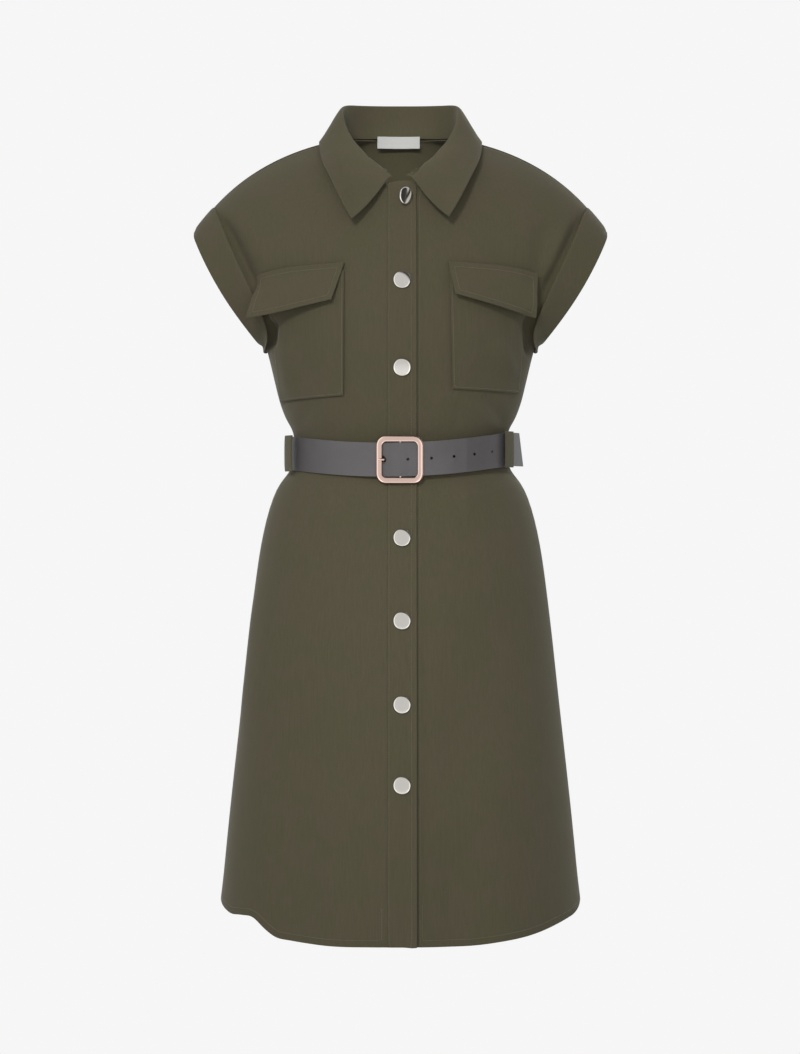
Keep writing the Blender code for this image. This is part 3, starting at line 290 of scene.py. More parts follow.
# %% [markdown]
# ## One face of a wall
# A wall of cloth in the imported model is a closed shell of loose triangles. Its showing face can
# be found by walking from triangle to triangle over gentle bends only: the walk stops at the
# cut edges, which turn by a right angle. The two largest patches are the front and the back of
# the cloth, and the one that looks away from the wearer is kept. Its triangles are paired into
# quads, because quads subdivide into an even surface.

# %% Take the showing face
GENTLE = math.radians(58)


def patches_of(bm):
    """Groups of faces that join without a sharp bend, largest first."""
    left, found = set(bm.faces), []
    while left:
        front, patch = [left.pop()], []
        while front:
            face = front.pop()
            patch.append(face)
            for edge in face.edges:
                if len(edge.link_faces) == 2 and edge.calc_face_angle() < GENTLE:
                    for other in edge.link_faces:
                        if other in left:
                            left.remove(other)
                            front.append(other)
        found.append(patch)
    return sorted(found, key=lambda patch: -sum(face.calc_area() for face in patch))


def away_from_body(face):
    centre = face.calc_center_median()
    return face.normal.dot(Vector((centre.x, centre.y, 0.25 * (centre.z + 0.45))))


def area_facing(patch, facing):
    return sum(facing(face) * face.calc_area() for face in patch)


def showing_face(node, name, facing=away_from_body):
    """A new skin made of the face of a wall that looks the given way, in quads."""
    skin = link(name, nodes[node].data.copy())
    with opened(skin.data) as bm:
        bmesh.ops.remove_doubles(bm, verts=bm.verts, dist=1e-5)
        front, back = patches_of(bm)[:2]
        if area_facing(front, facing) < area_facing(back, facing):
            front = back
        keep = set(front)
        bmesh.ops.delete(bm, geom=[f for f in bm.faces if f not in keep], context="FACES")
        bmesh.ops.join_triangles(bm, faces=bm.faces, angle_face_threshold=math.radians(50),
                                 angle_shape_threshold=math.radians(75))
        for face in bm.faces:
            face.smooth = True
        odd = sum(len(face.verts) != 4 for face in bm.faces)
    print(f"{name}: {len(skin.data.polygons)} faces, {odd} of them not quads")
    return skin


def subdivide(skin, levels):
    apply_modifier(skin, "SUBSURF", levels=levels, render_levels=levels,
                   boundary_smooth="PRESERVE_CORNERS")


# %% [markdown]
# ## Folds
# Worn cloth is never quite smooth: it bunches a little above and below the belt, pulls from the
# underarm, dips in the sleeve beside the cuff and swings in long soft flutes in the skirt. Each
# fold here is a line on the front or the back, from one point to another, with a width and a
# height: ridges are positive and troughs negative. Every layer of the dress is moved by the same
# folds, so a pocket stays on its panel.

# %% Fold tables
FRONT_FOLDS = (
    # x and z of one end, x and z of the other, half width, height
    (-0.134, -0.21, -0.124, -0.302, 0.01, 0.0034),
    (-0.112, -0.215, -0.108, -0.295, 0.013, -0.0016),
    (0.106, -0.228, 0.132, -0.278, 0.008, 0.0026),
    (0.078, -0.26, 0.118, -0.29, 0.014, -0.0016),
    (0.092, -0.29, 0.126, -0.334, 0.008, -0.0024),
    (0.078, -0.301, 0.108, -0.336, 0.009, 0.0016),
    (-0.096, -0.296, -0.118, -0.333, 0.008, -0.0018),
    (0.166, -0.085, 0.15, -0.195, 0.015, -0.0042),
    (0.19, -0.09, 0.174, -0.17, 0.014, 0.002),
    (-0.2, -0.09, -0.16, -0.185, 0.014, -0.0038),
    (-0.178, -0.085, -0.142, -0.15, 0.015, 0.0014),
    (-0.21, -0.08, -0.156, -0.186, 0.007, -0.0065),
    (0.21, -0.08, 0.154, -0.2, 0.007, -0.007),
    (0.142, -0.195, 0.15, -0.256, 0.007, -0.008),
    (-0.143, -0.204, -0.148, -0.244, 0.006, -0.008),
    (-0.082, -0.275, -0.086, -0.338, 0.006, 0.0012),
    (-0.056, -0.29, -0.057, -0.338, 0.006, -0.0012),
    (0.043, -0.29, 0.044, -0.338, 0.006, 0.001),
    (0.062, -0.298, 0.066, -0.338, 0.005, -0.0011),
    (-0.102, -0.394, -0.118, -0.456, 0.008, -0.0016),
    (-0.077, -0.394, -0.086, -0.442, 0.007, 0.0014),
    (-0.048, -0.394, -0.052, -0.438, 0.007, -0.0012),
    (0.042, -0.394, 0.044, -0.45, 0.008, -0.0013),
    (0.07, -0.394, 0.079, -0.442, 0.007, 0.0013),
    (0.098, -0.394, 0.113, -0.456, 0.008, -0.0017),
    (0.118, -0.49, 0.05, -0.77, 0.04, -0.004),
    (0.115, -0.66, 0.13, -0.92, 0.034, 0.004),
    (-0.16, -0.49, -0.176, -0.69, 0.022, 0.0034),
    (-0.108, -0.6, -0.12, -0.92, 0.034, -0.0044),
    (-0.064, -0.7, -0.066, -0.92, 0.03, 0.0036),
    (0.056, -0.78, 0.056, -0.92, 0.024, -0.004),
)
BACK_FOLDS = (
    (-0.07, -0.26, -0.076, -0.33, 0.007, 0.002),
    (-0.048, -0.24, -0.05, -0.33, 0.008, -0.0022),
    (-0.018, -0.27, -0.016, -0.33, 0.006, 0.0014),
    (0.015, -0.25, 0.017, -0.33, 0.007, -0.0018),
    (0.046, -0.265, 0.05, -0.33, 0.007, 0.002),
    (0.08, -0.25, 0.088, -0.33, 0.008, -0.002),
    (-0.15, -0.2, -0.07, -0.27, 0.013, 0.003),
    (0.148, -0.205, 0.08, -0.26, 0.012, 0.0028),
    (0.16, -0.1, 0.146, -0.19, 0.014, -0.0036),
    (-0.162, -0.095, -0.148, -0.195, 0.014, -0.0036),
    (-0.09, -0.386, -0.108, -0.46, 0.009, -0.0022),
    (-0.056, -0.386, -0.064, -0.45, 0.008, 0.0018),
    (-0.024, -0.386, -0.026, -0.465, 0.008, -0.0018),
    (0.012, -0.386, 0.013, -0.445, 0.007, 0.0016),
    (0.044, -0.386, 0.052, -0.46, 0.008, -0.002),
    (0.086, -0.386, 0.102, -0.455, 0.009, 0.0018),
    (-0.108, -0.56, -0.132, -0.92, 0.036, -0.006),
    (-0.042, -0.5, -0.05, -0.92, 0.034, 0.0056),
    (0.026, -0.56, 0.032, -0.92, 0.032, -0.0056),
    (0.096, -0.5, 0.118, -0.92, 0.036, 0.0052),
)

HEM_END = -0.9              # a fold ending lower than this keeps its height there
BELT_EDGE = -0.39           # a fold starting about here has its full height there


def fold_height(points):
    """How far the folds lift or sink the cloth at each point."""
    total = np.zeros(len(points))
    for way, folds in ((-1, FRONT_FOLDS), (1, BACK_FOLDS)):
        facing = np.clip(way * points[:, 1] / 0.03, 0, 1)
        for x0, z0, x1, z1, width, height in folds:
            run = np.array((x1 - x0, z1 - z0))
            here = points[:, [0, 2]] - np.array((x0, z0))
            along = np.clip(here @ run / (run @ run), 0, 1)
            off = np.linalg.norm(here - along[:, None] * run, axis=1) / width
            fade = np.clip(np.minimum(along, 1 - along) / 0.3, 0, 1)
            fade = fade * fade * (3 - 2 * fade)
            if z1 < HEM_END:
                fade = np.where(along > 0.5, 1, fade)
            elif abs(z0 - BELT_EDGE) < 0.01:
                fade = np.where(along < 0.5, 1, fade)
            total += height * np.exp(-off**2) * fade * facing
    return total


# middle, half width of what lies still, and how far on the cloth is quite free
BAND_STILL = (0.0017, 0.018, 0.035)
BELT_STILL = (-0.362, 0.024, 0.012)


def free_from(values, middle, half, further):
    return np.clip((np.abs(values - middle) - half) / further, 0, 1)


def calm(points):
    """1 on free cloth, less on the stiff front bands and where the belt holds the cloth."""
    band = np.where(points[:, 1] < 0, free_from(points[:, 0], *BAND_STILL), 1)
    return band * free_from(points[:, 2], *BELT_STILL)


def lay_folds(skin):
    """Moves each point along its own normal, held nearly level, by the folds there."""
    points, normals = points_of(skin.data), normals_of(skin.data)
    level = normals.copy()
    level[:, 2] *= 0.3
    level /= np.linalg.norm(level, axis=1)[:, None]
    height = fold_height(points) * calm(points)
    set_points(skin.data, points + level * height[:, None])


print("folds:", len(FRONT_FOLDS), "in front and", len(BACK_FOLDS), "behind")

# %% [markdown]
# ## Cloth pieces
# Each skin is given back its thickness with a Solidify modifier whose cut edge is rounded by a
# small Bevel, because cut and folded cloth has no knife edge.

# %% Finish a cloth piece
def finish_cloth(skin, node, material, thick):
    add_modifier(skin, "SOLIDIFY", thickness=thick, offset=-1.0, use_even_offset=False)
    add_modifier(skin, "BEVEL", width=thick * 0.3, segments=2, limit_method="ANGLE",
                 angle_limit=math.radians(60))
    hand_over(skin, material, "cloth", node)


# %% Body panels
PANEL_WALL = 0.0011
front_left = showing_face("front_left", "left_front_panel")
front_right = showing_face("front_right", "right_front_panel")
back = showing_face("back", "back_panel")
for panel, levels in ((front_left, 3), (front_right, 3), (back, 2)):
    subdivide(panel, levels)
    lay_folds(panel)

# %% [markdown]
# ## The hem
# A shirt-tail hem turns up at both sides in a round corner. On the right front it also has a small
# step, where the turned edge has rolled. Only the lowest few centimetres of cloth move with it.

# %% Shape the hem
CORNER_START = 0.1925       # how far from the middle the hem begins to turn up
CORNER_REACH = 0.0135       # and how much further it ends
CORNER_RISE = 0.0110
HEM_TOP = -0.825            # cloth above this height stays where it is
HEM_DEPTH = 0.045
ROLLED_STEP = (
    # x of its middle, half width, height
    (-0.1660, 0.0100, 0.0046),
    (-0.1390, 0.0120, -0.0030),
    (-0.1900, 0.0070, -0.0020),
)


def lift_hem(panel, steps=()):
    points = points_of(panel.data)
    x, z = points[:, 0], points[:, 2]
    past = np.clip((np.abs(x) - CORNER_START) / CORNER_REACH, 0, 1)
    rise = CORNER_RISE * (1 - np.sqrt(1 - past ** 2))
    for middle, width, height in steps:
        rise += height * np.exp(-((x - middle) / width) ** 2)
    share = np.clip((HEM_TOP - z) / HEM_DEPTH, 0, 1)
    points[:, 2] += rise * share * share * (3 - 2 * share)
    set_points(panel.data, points)


lift_hem(front_left)
lift_hem(front_right, ROLLED_STEP)
lift_hem(back)
print("hem shaped on three panels")

# %% [markdown]
# ## Edges that are sewn under
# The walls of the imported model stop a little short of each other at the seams. Each skin's edge
# is carried under the band or panel it is sewn to, so that no daylight shows along a seam.

# %% Tuck the fronts under the bands
def tuck(skin, chosen, move):
    """Moves the chosen points of the open edge."""
    with opened(skin.data) as bm:
        for vert in bm.verts:
            if vert.is_boundary and chosen(vert.co):
                vert.co += Vector(move)


tuck(front_right, lambda p: -0.022 < p.x < -0.010 and p.y < 0, (0.0016, 0.0009, 0))
tuck(front_left, lambda p: 0.012 < p.x < 0.022 and p.y < 0, (-0.0016, 0.0003, 0))
print("front edges tucked")

# %% Bands, pockets and flaps
band_upper = showing_face("band_upper", "button_band")
band_lower = showing_face("band_lower", "under_band")
pocket_left = showing_face("pocket_left", "left_pocket")
pocket_right = showing_face("pocket_right", "right_pocket")
flap_left = showing_face("flap_left", "left_pocket_flap")
flap_right = showing_face("flap_right", "right_pocket_flap")
for piece in (band_upper, band_lower, pocket_left, pocket_right, flap_left, flap_right):
    subdivide(piece, 3)
    lay_folds(piece)

# %% Cuffs, collar and belt loops
def away_from_arm(face):
    centre = face.calc_center_median()
    arm = Vector((math.copysign(0.19, centre.x), 0, -0.17))
    return face.normal.dot(centre - arm)


cuff_left = showing_face("cuff_left", "left_cuff", away_from_arm)
cuff_right = showing_face("cuff_right", "right_cuff", away_from_arm)
collar = showing_face("collar", "shirt_collar")
loop_left = showing_face("loop_left", "left_belt_loop")
loop_right = showing_face("loop_right", "right_belt_loop")
for piece in (cuff_left, cuff_right, collar, loop_left, loop_right):
    subdivide(piece, 2)

# %% [markdown]
# ## Edges that stand off
# The collar leaves and the lapped band are double cloth, and their free edges spring a little off
# what they lie on. The dark line beside each is the shade under that edge.

# %% Distance from the open edges
EDGE_STEP = 0.0005


def anywhere(point):
    return True


def edge_points(mesh, wanted):
    """Points every half millimetre along the open edges for which wanted(point) is true."""
    bm = bmesh.new()
    bm.from_mesh(mesh)
    found = []
    for edge in bm.edges:
        if len(edge.link_faces) == 1 and wanted((edge.verts[0].co + edge.verts[1].co) / 2):
            a, b = edge.verts[0].co, edge.verts[1].co
            steps = max(1, int((b - a).length / EDGE_STEP))
            found += [a.lerp(b, k / steps) for k in range(steps + 1)]
    bm.free()
    return found


def edge_tree(mesh, wanted):
    """A tree that finds the nearest point of the wanted open edges."""
    edge = edge_points(mesh, wanted)
    tree = KDTree(len(edge))
    for index, point in enumerate(edge):
        tree.insert(point, index)
    tree.balance()
    return tree


# %% Lift the free edges
def spring(skin, wanted, reach, lift, direction=None):
    """Lifts the cloth near the wanted edges, by lift at the edge and by nothing at reach."""
    tree = edge_tree(skin.data, wanted)
    points, normals = points_of(skin.data), normals_of(skin.data)
    away = normals if direction is None else np.array(direction, float)
    near = np.array([tree.find(p)[2] for p in points])
    share = np.clip(1 - near / reach, 0, 1) ** 1.6
    set_points(skin.data, points + away * (share * lift(points))[:, None])


def leaf_lift(points):
    """More towards the front points of the collar."""
    return 0.0026 + 0.0034 * np.clip((-points[:, 1] - 0.02) / 0.07, 0, 1)


def band_lift(points):
    """A little at the chest and more towards the hem."""
    return 0.0014 + 0.0034 * np.clip((-points[:, 2] - 0.35) / 0.5, 0, 1)


LEAF_REACH = 0.022
BAND_REACH = 0.011
spring(collar, lambda p: p.xy.length > 0.074 and p.z < 0.0, LEAF_REACH, leaf_lift)
spring(band_upper, lambda p: p.x > 0.012 and p.z < -0.09, BAND_REACH, band_lift, (0, -1, 0))
print("collar and band lifted at their free edges")

# %% Close the side and shoulder seams
SEAM_GAP = 0.0025           # edges nearer than this are sewn together
SEAM_LAP = 0.0012           # how far one edge goes past the other
SEAM_UNDER = 0.0014         # and how far below it


def close_seam(skin, neighbour):
    """Carries the edge of a panel a little way under its neighbour's, where the two are sewn."""
    tree = edge_tree(neighbour.data, anywhere)
    normals = normals_of(skin.data)
    with opened(skin.data) as bm:
        for vert in bm.verts:
            place, _, gap = tree.find(vert.co)
            if vert.is_boundary and 0 < gap < SEAM_GAP:
                across = (place - vert.co).normalized() * (gap + SEAM_LAP)
                vert.co += across - Vector(normals[vert.index]) * SEAM_UNDER


close_seam(front_left, back)
close_seam(front_right, back)
print("side and shoulder seams closed")

# %% [markdown]
# ## Collar, loops and cuffs
# The crown of the collar is drawn up and a little wider, and its two front points are drawn down,
# one further than the other. The belt loops lean forwards off the belt. The fold of each cuff is
# rounded at the top of the arm.

# %% Shape the collar
CROWN_HALF_WIDTH = 0.047
CROWN_ARCH = 0.0010
TOP_RISE = 0.0016
TOP_SPREAD = 0.03
LEAF_POINTS = (
    # side, sideways, down
    (-1, -0.0012, 0.0045),
    (1, 0.0006, 0.0022),
)
LEAF_POINT_REACH = 0.026
points = points_of(collar.data)
inside = np.clip(1 - (points[:, 0] / CROWN_HALF_WIDTH) ** 2, 0, 1)
crown = inside * np.clip((points[:, 2] - 0.03) / 0.01, 0, 1)
points[:, 2] += CROWN_ARCH * crown * (points[:, 1] > 0)
upper = np.clip((points[:, 2] - 0.005) / 0.03, 0, 1)
points[:, 2] += TOP_RISE * upper
points[:, 0] *= 1 + TOP_SPREAD * upper
for side, sideways, down in LEAF_POINTS:
    leaf = points[(points[:, 0] * side > 0) & (points[:, 1] < 0)]
    tip = leaf[leaf[:, 2].argmin()]
    near = np.exp(-(np.linalg.norm(points - tip, axis=1) / LEAF_POINT_REACH) ** 2)
    points += near[:, None] * (sideways, 0, -down)
set_points(collar.data, points)
print("collar shaped")

# %% Shape the belt loops and cuffs
CUFF_ROUND = 0.0020
CUFF_CORNER = 0.0055


def lean_forward(loop, side, turn):
    """Draws the front edge of a belt loop forwards, so that it stands off the belt there."""
    points = points_of(loop.data)
    angle = np.arctan2(points[:, 0] * side, -points[:, 1])
    radius = np.hypot(points[:, 0], points[:, 1])
    share = (angle.max() - angle) / (angle.max() - angle.min())
    angle -= math.radians(turn) * share
    points[:, 0], points[:, 1] = side * np.sin(angle) * radius, -np.cos(angle) * radius
    set_points(loop.data, points)


def round_corner(cuff, side):
    """Draws the outermost corner of a cuff in a little."""
    points = points_of(cuff.data)
    corner = points[(points[:, 0] * side).argmax()]
    off = np.linalg.norm((points - corner)[:, [0, 2]], axis=1)
    points[:, 0] -= side * CUFF_ROUND * np.exp(-(off / CUFF_CORNER) ** 2)
    set_points(cuff.data, points)


lean_forward(loop_left, 1, 4.0)
lean_forward(loop_right, -1, 5.0)
round_corner(cuff_left, 1)
round_corner(cuff_right, -1)
print("loops and cuffs shaped")

# %% [markdown]
# ## Stitches
# Topstitching runs at an even distance from an edge. To find that line on any piece, the distance
# from the chosen edges is worked out at every corner of the mesh, and the line where it equals
# the stitch distance is traced from face to face. Stitches are then set along it at an even
# pitch: each is one short thick thread, slightly sunk at both ends.

# %% Trace a line at a distance from an edge
PITCH = 0.0032              # from the middle of one stitch to the next


def trace(mesh, inset, wanted, region):
    """Chains of points on the mesh that lie inset from the wanted edges."""
    tree = edge_tree(mesh, wanted)
    mesh.calc_loop_triangles()
    points = points_of(mesh)
    distance = np.array([tree.find(p)[2] for p in points]) - inset
    links = {}
    for triangle in mesh.loop_triangles:
        v = triangle.vertices
        crossed = []
        for a, b in ((v[0], v[1]), (v[1], v[2]), (v[2], v[0])):
            if (distance[a] < 0) != (distance[b] < 0):
                crossed.append((min(a, b), max(a, b)))
        if len(crossed) == 2:
            links.setdefault(crossed[0], []).append(crossed[1])
            links.setdefault(crossed[1], []).append(crossed[0])
    chains, used = [], set()
    ends = [key for key, near in links.items() if len(near) == 1]
    for start in ends + list(links):
        if start in used:
            continue
        chain, here = [], start
        while here is not None and here not in used:
            used.add(here)
            a, b = here
            share = distance[a] / (distance[a] - distance[b])
            chain.append(points[a] + (points[b] - points[a]) * share)
            here = next((k for k in links[here] if k not in used), None)
        chains.append([p for p in chain if region(p)])
    return [np.array(chain) for chain in chains if len(chain) > 3]


def even_steps(chain):
    """The ends of the stitches along a chain, an even pitch apart."""
    steps = np.linalg.norm(np.diff(chain, axis=0), axis=1)
    length = np.concatenate([[0], np.cumsum(steps)])
    count = max(1, int(length[-1] / PITCH))
    places = np.linspace(0, length[-1], count + 1)
    return np.stack([np.interp(places, length, chain[:, k]) for k in range(3)], 1)


# %% Set stitches along a line
STITCH = 0.0025
THREAD_RADIUS = 0.00030
# place along the stitch in lengths, size and height in radii
THREAD_PROFILE = ((-0.5, 0.35, -0.5), (-0.3, 0.9, 0.35), (0.3, 0.9, 0.35), (0.5, 0.35, -0.5))
THREAD_FLATNESS = 1.25
FACES_OF_STITCH = 14


def stitch_mesh(name, surface, chains):
    """One mesh with every stitch of a piece, lying on the surface."""
    skin = BVHTree.FromPolygons([v.co.copy() for v in surface.data.vertices],
                                [tuple(p.vertices) for p in surface.data.polygons])
    verts, faces = [], []
    for chain in chains:
        stops = even_steps(chain)
        for a, b in zip(stops, stops[1:]):
            middle = Vector((a + b) / 2)
            place, normal = skin.find_nearest(middle)[:2]
            run = Vector(b - a)
            run = (run - normal * run.dot(normal)).normalized()
            side = normal.cross(run)
            base = len(verts)
            for along, size, lift in THREAD_PROFILE:
                centre = place + run * along * STITCH + normal * lift * THREAD_RADIUS
                for turn in (0.25, 0.75, 1.25, 1.75):
                    c, s = math.cos(turn * math.pi), math.sin(turn * math.pi)
                    spoke = side * c * THREAD_FLATNESS + normal * s
                    verts.append(centre + spoke * THREAD_RADIUS * size)
            for ring in range(3):
                for k in range(4):
                    d = (k + 1) % 4
                    faces.append((base + ring * 4 + k, base + ring * 4 + d,
                                  base + ring * 4 + 4 + d, base + ring * 4 + 4 + k))
            faces.append((base + 3, base + 2, base + 1, base))
            faces.append((base + 12, base + 13, base + 14, base + 15))
    mesh = bpy.data.meshes.new(name)
    mesh.from_pydata(verts, [], faces)
    with opened(mesh) as bm:
        bmesh.ops.recalc_face_normals(bm, faces=bm.faces)
    mesh.shade_smooth()
    row = link(name, mesh)
    hand_over(row, THREAD, "cloth")
    print(f"{name}: {len(faces) // FACES_OF_STITCH} stitches in {len(chains)} rows")
    return row


# %% Stitch every piece
HEM_ZONE = -0.86            # open edges lower than this are the hem
HEM_INSET = 0.0075
FLAP_INSET = 0.0055
POCKET_INSET = 0.0022


def at_hem(point):
    return point[2] < HEM_ZONE


def sew(part, surface, *rows):
    """Sews rows given by their inset, the edge they follow and the region they stay in."""
    chains = []
    for inset, wanted, region in rows:
        chains += trace(surface.data, inset, wanted, region)
    stitch_mesh(part + "_stitches", surface, chains)


band_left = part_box("band_upper")[0].x
band_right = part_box("band_upper")[1].x
sew("button_band", band_upper,
    (0.0016, lambda p: p.x < band_left + 0.002, anywhere),
    (0.0060, lambda p: p.x > band_right - 0.002, lambda p: p[2] < -0.075))
sew("left_front", front_left,
    (HEM_INSET, at_hem, at_hem),
    (0.0050, lambda p: p.x < 0.02 and p.z < -0.06, lambda p: p[0] < 0.03))
sew("right_front", front_right, (HEM_INSET, at_hem, at_hem))
sew("back", back, (HEM_INSET, at_hem, at_hem))
for side, flap, pocket in (("left", flap_left, pocket_left), ("right", flap_right, pocket_right)):
    sew(side + "_flap", flap, (FLAP_INSET, anywhere, anywhere))
    sew(side + "_pocket", pocket, (POCKET_INSET, anywhere, anywhere))

# %% Give the cloth its thickness
BAND_WALL = 0.0014
CUFF_WALL = 0.0016
finish_cloth(front_left, "front_left", BODY_CLOTH, PANEL_WALL)
finish_cloth(front_right, "front_right", BODY_CLOTH, PANEL_WALL)
finish_cloth(back, "back", BODY_CLOTH, PANEL_WALL)
finish_cloth(band_upper, "band_upper", BAND_CLOTH, BAND_WALL)
finish_cloth(band_lower, "band_lower", BAND_CLOTH, BAND_WALL)
finish_cloth(collar, "collar", COLLAR_CLOTH, BAND_WALL)
finish_cloth(cuff_left, "cuff_left", CUFF_CLOTH, CUFF_WALL)
finish_cloth(cuff_right, "cuff_right", CUFF_CLOTH, CUFF_WALL)
for side, flap, pocket, loop in (("left", flap_left, pocket_left, loop_left),
                                 ("right", flap_right, pocket_right, loop_right)):
    finish_cloth(flap, f"flap_{side}", POCKET_CLOTH, BAND_WALL)
    finish_cloth(pocket, f"pocket_{side}", POCKET_CLOTH, PANEL_WALL)
    finish_cloth(loop, f"loop_{side}", POCKET_CLOTH, BAND_WALL)
print("cloth pieces finished")

# %% [markdown]
# ## The belt
# The belt is one smooth strap of imitation leather. The imported model has its exact path and its
# punched holes, so its mesh is copied, its flats are joined and its sharp edges are rounded. Shade
# is painted into the strap's colour inside each hole, so that the holes read dark.

# %% Belt material
FRONT_OF_STRAP = -0.08      # corners further forward than this are on the front of the strap
NEAR_MIDDLE = 0.010         # corners of a hole lie nearer than this to the strap's middle line
ONE_HOLE = 0.0060           # and nearer than this to each other
HOLE_SINK = 0.0006          # the painted shade of a hole is centred this far below the surface
HOLE_SHADE_FADE = (0.0019, 0.0023)    # the painted shade is full within the first distance and gone at the second
LEATHER_DARK = (0.088, 0.082, 0.084, 1)
LEATHER_LIGHT = (0.104, 0.098, 0.101, 1)


def hole_middles(mesh):
    """The middle of each punched hole: groups of corners that lie well inside the strap."""
    front = [v.co.copy() for v in mesh.vertices if v.co.y < FRONT_OF_STRAP]
    height = (max(p.z for p in front) + min(p.z for p in front)) / 2
    groups = []
    for point in front:
        if abs(point.z - height) < NEAR_MIDDLE:
            for group in groups:
                if (group[0] - point).length < ONE_HOLE:
                    group.append(point)
                    break
            else:
                groups.append([point])
    return [sum(group, Vector()) / len(group) for group in groups]


def belt_material(holes):
    material = bpy.data.materials.new("grey_brown_imitation_leather")
    make = Nodes(material)
    plain = make.object_points()
    patch = make.noise(plain, 26.0, 3.0)
    grain = make.noise(plain, 900.0, 3.0, 0.6)
    colour = make.mix_colours(make.spread(patch, 0.3, 0.7, 0, 1), LEATHER_DARK, LEATHER_LIGHT)
    mottled = make.scaled_colour(colour, make.spread(grain, 0.3, 0.7, 0.94, 1.06))
    # Painted shade: the strap's colour is darkened around the middle of each hole, where shade
    # falls inside it.
    nearest = 1.0
    for hole in holes:
        apart = make.add("ShaderNodeVectorMath", {0: plain, 1: hole + Vector((0, HOLE_SINK, 0))},
                         operation="DISTANCE").outputs["Value"]
        nearest = make.add("ShaderNodeMath", {0: nearest, 1: apart},
                           operation="MINIMUM").outputs[0]
    hole_shade = make.spread(nearest, *HOLE_SHADE_FADE, 0.05, 1.0)
    make.feed("Base Color", make.scaled_colour(mottled, hole_shade))
    make.feed("Roughness", make.spread(grain, 0.3, 0.7, 0.36, 0.46))
    make.even(specular_ior_level=0.5)
    make.feed("Normal", make.bump(grain, 0.00006))
    return material


# %% Belt
belt = link("belt_strap", nodes["belt"].data.copy())
with opened(belt.data) as bm:
    bmesh.ops.remove_doubles(bm, verts=bm.verts, dist=1e-5)
    bmesh.ops.dissolve_limit(bm, angle_limit=math.radians(1.0), verts=bm.verts, edges=bm.edges)
holes = hole_middles(belt.data)
print("punched holes:", len(holes))
smooth_by_angle(belt, 35)
add_modifier(belt, "BEVEL", width=0.00035, segments=2, limit_method="ANGLE",
             angle_limit=math.radians(50), harden_normals=True)
hand_over(belt, belt_material(holes), "belt_strap", "belt")

# %% [markdown]
# ## Metal
# The buckle is polished rose gold and the buttons are a pale polished metal. What a polished
# thing looks like is mostly what it mirrors, so their own colour is even and only a very fine
# unevenness in the polish keeps them from looking drawn.

# %% Metal materials
def metal(name, colour, rough):
    material = bpy.data.materials.new(name)
    make = Nodes(material)
    smear = make.noise(make.object_points(), 160.0, 3.0)
    make.even(metallic=1.0)
    duller = [c * 0.94 for c in colour]
    make.feed("Base Color", make.mix_colours(smear, [*duller, 1], [*colour, 1]))
    make.feed("Roughness", make.spread(smear, 0.3, 0.7, rough * 0.7, rough * 1.3))
    return material


ROSE_GOLD = metal("polished_rose_gold", (0.90, 0.66, 0.57), 0.10)
PALE_METAL = metal("polished_pale_metal", (0.80, 0.77, 0.72), 0.10)
print("metals ready")

# %% [markdown]
# ## Buckle
# The frame is a rounded square ring with a soft, almost round section. A square face has its four
# corners bevelled into arcs, is inset and opened, and gets its thickness and a wide bevel.

# %% Buckle frame
BUCKLE_SIZE = 0.0532
BUCKLE_BAR = 0.0068
BUCKLE_DEPTH = 0.0036
BUCKLE_CORNER = 0.0115
BUCKLE_ASIDE = -0.0008
BUCKLE_BEND = 3.6           # metres of depth for each square metre from the middle
low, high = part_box("buckle_frame")
middle = (low + high) / 2
middle.x = BUCKLE_ASIDE
bpy.ops.object.select_all(action="DESELECT")
bpy.ops.mesh.primitive_plane_add(size=BUCKLE_SIZE, rotation=(math.radians(90), 0, 0),
                                 location=(middle.x, low.y + BUCKLE_DEPTH, middle.z))
buckle = settle("rose_gold_buckle")
bpy.ops.object.mode_set(mode="EDIT")
bpy.ops.mesh.select_all(action="SELECT")
bpy.ops.mesh.bevel(offset=BUCKLE_CORNER, segments=7, affect="VERTICES")
bpy.ops.mesh.select_all(action="SELECT")
bpy.ops.mesh.inset(thickness=BUCKLE_BAR, depth=0)
bpy.ops.mesh.delete(type="FACE")
bpy.ops.object.mode_set(mode="OBJECT")
apply_modifier(buckle, "SOLIDIFY", thickness=BUCKLE_DEPTH, offset=1.0)
apply_modifier(buckle, "BEVEL", width=0.0017, segments=5, limit_method="ANGLE",
               angle_limit=math.radians(50))
points = points_of(buckle.data)
points[:, 1] += BUCKLE_BEND * (points[:, 0] - middle.x) ** 2
set_points(buckle.data, points)
smooth_by_angle(buckle, 60)
print("buckle", len(buckle.data.polygons), [round(v, 4) for v in buckle.dimensions])

# %% Centre bar
BAR_RADIUS = 0.0014
BAR_BEHIND = 0.0032         # from the front of the frame to the middle of the bar
bpy.ops.object.select_all(action="DESELECT")
bpy.ops.mesh.primitive_cylinder_add(vertices=24, radius=BAR_RADIUS,
                                    depth=BUCKLE_SIZE - BUCKLE_BAR,
                                    location=(0, low.y + BAR_BEHIND, middle.z))
bar = settle("buckle_centre_bar")
apply_modifier(bar, "BEVEL", width=0.0005, segments=2, limit_method="ANGLE")
smooth_by_angle(bar, 50)
hand_over(bar, ROSE_GOLD, "buckle_metal")
hand_over(buckle, ROSE_GOLD, "buckle_metal", "buckle_frame")
print("bar", [round(v, 4) for v in bar.dimensions])

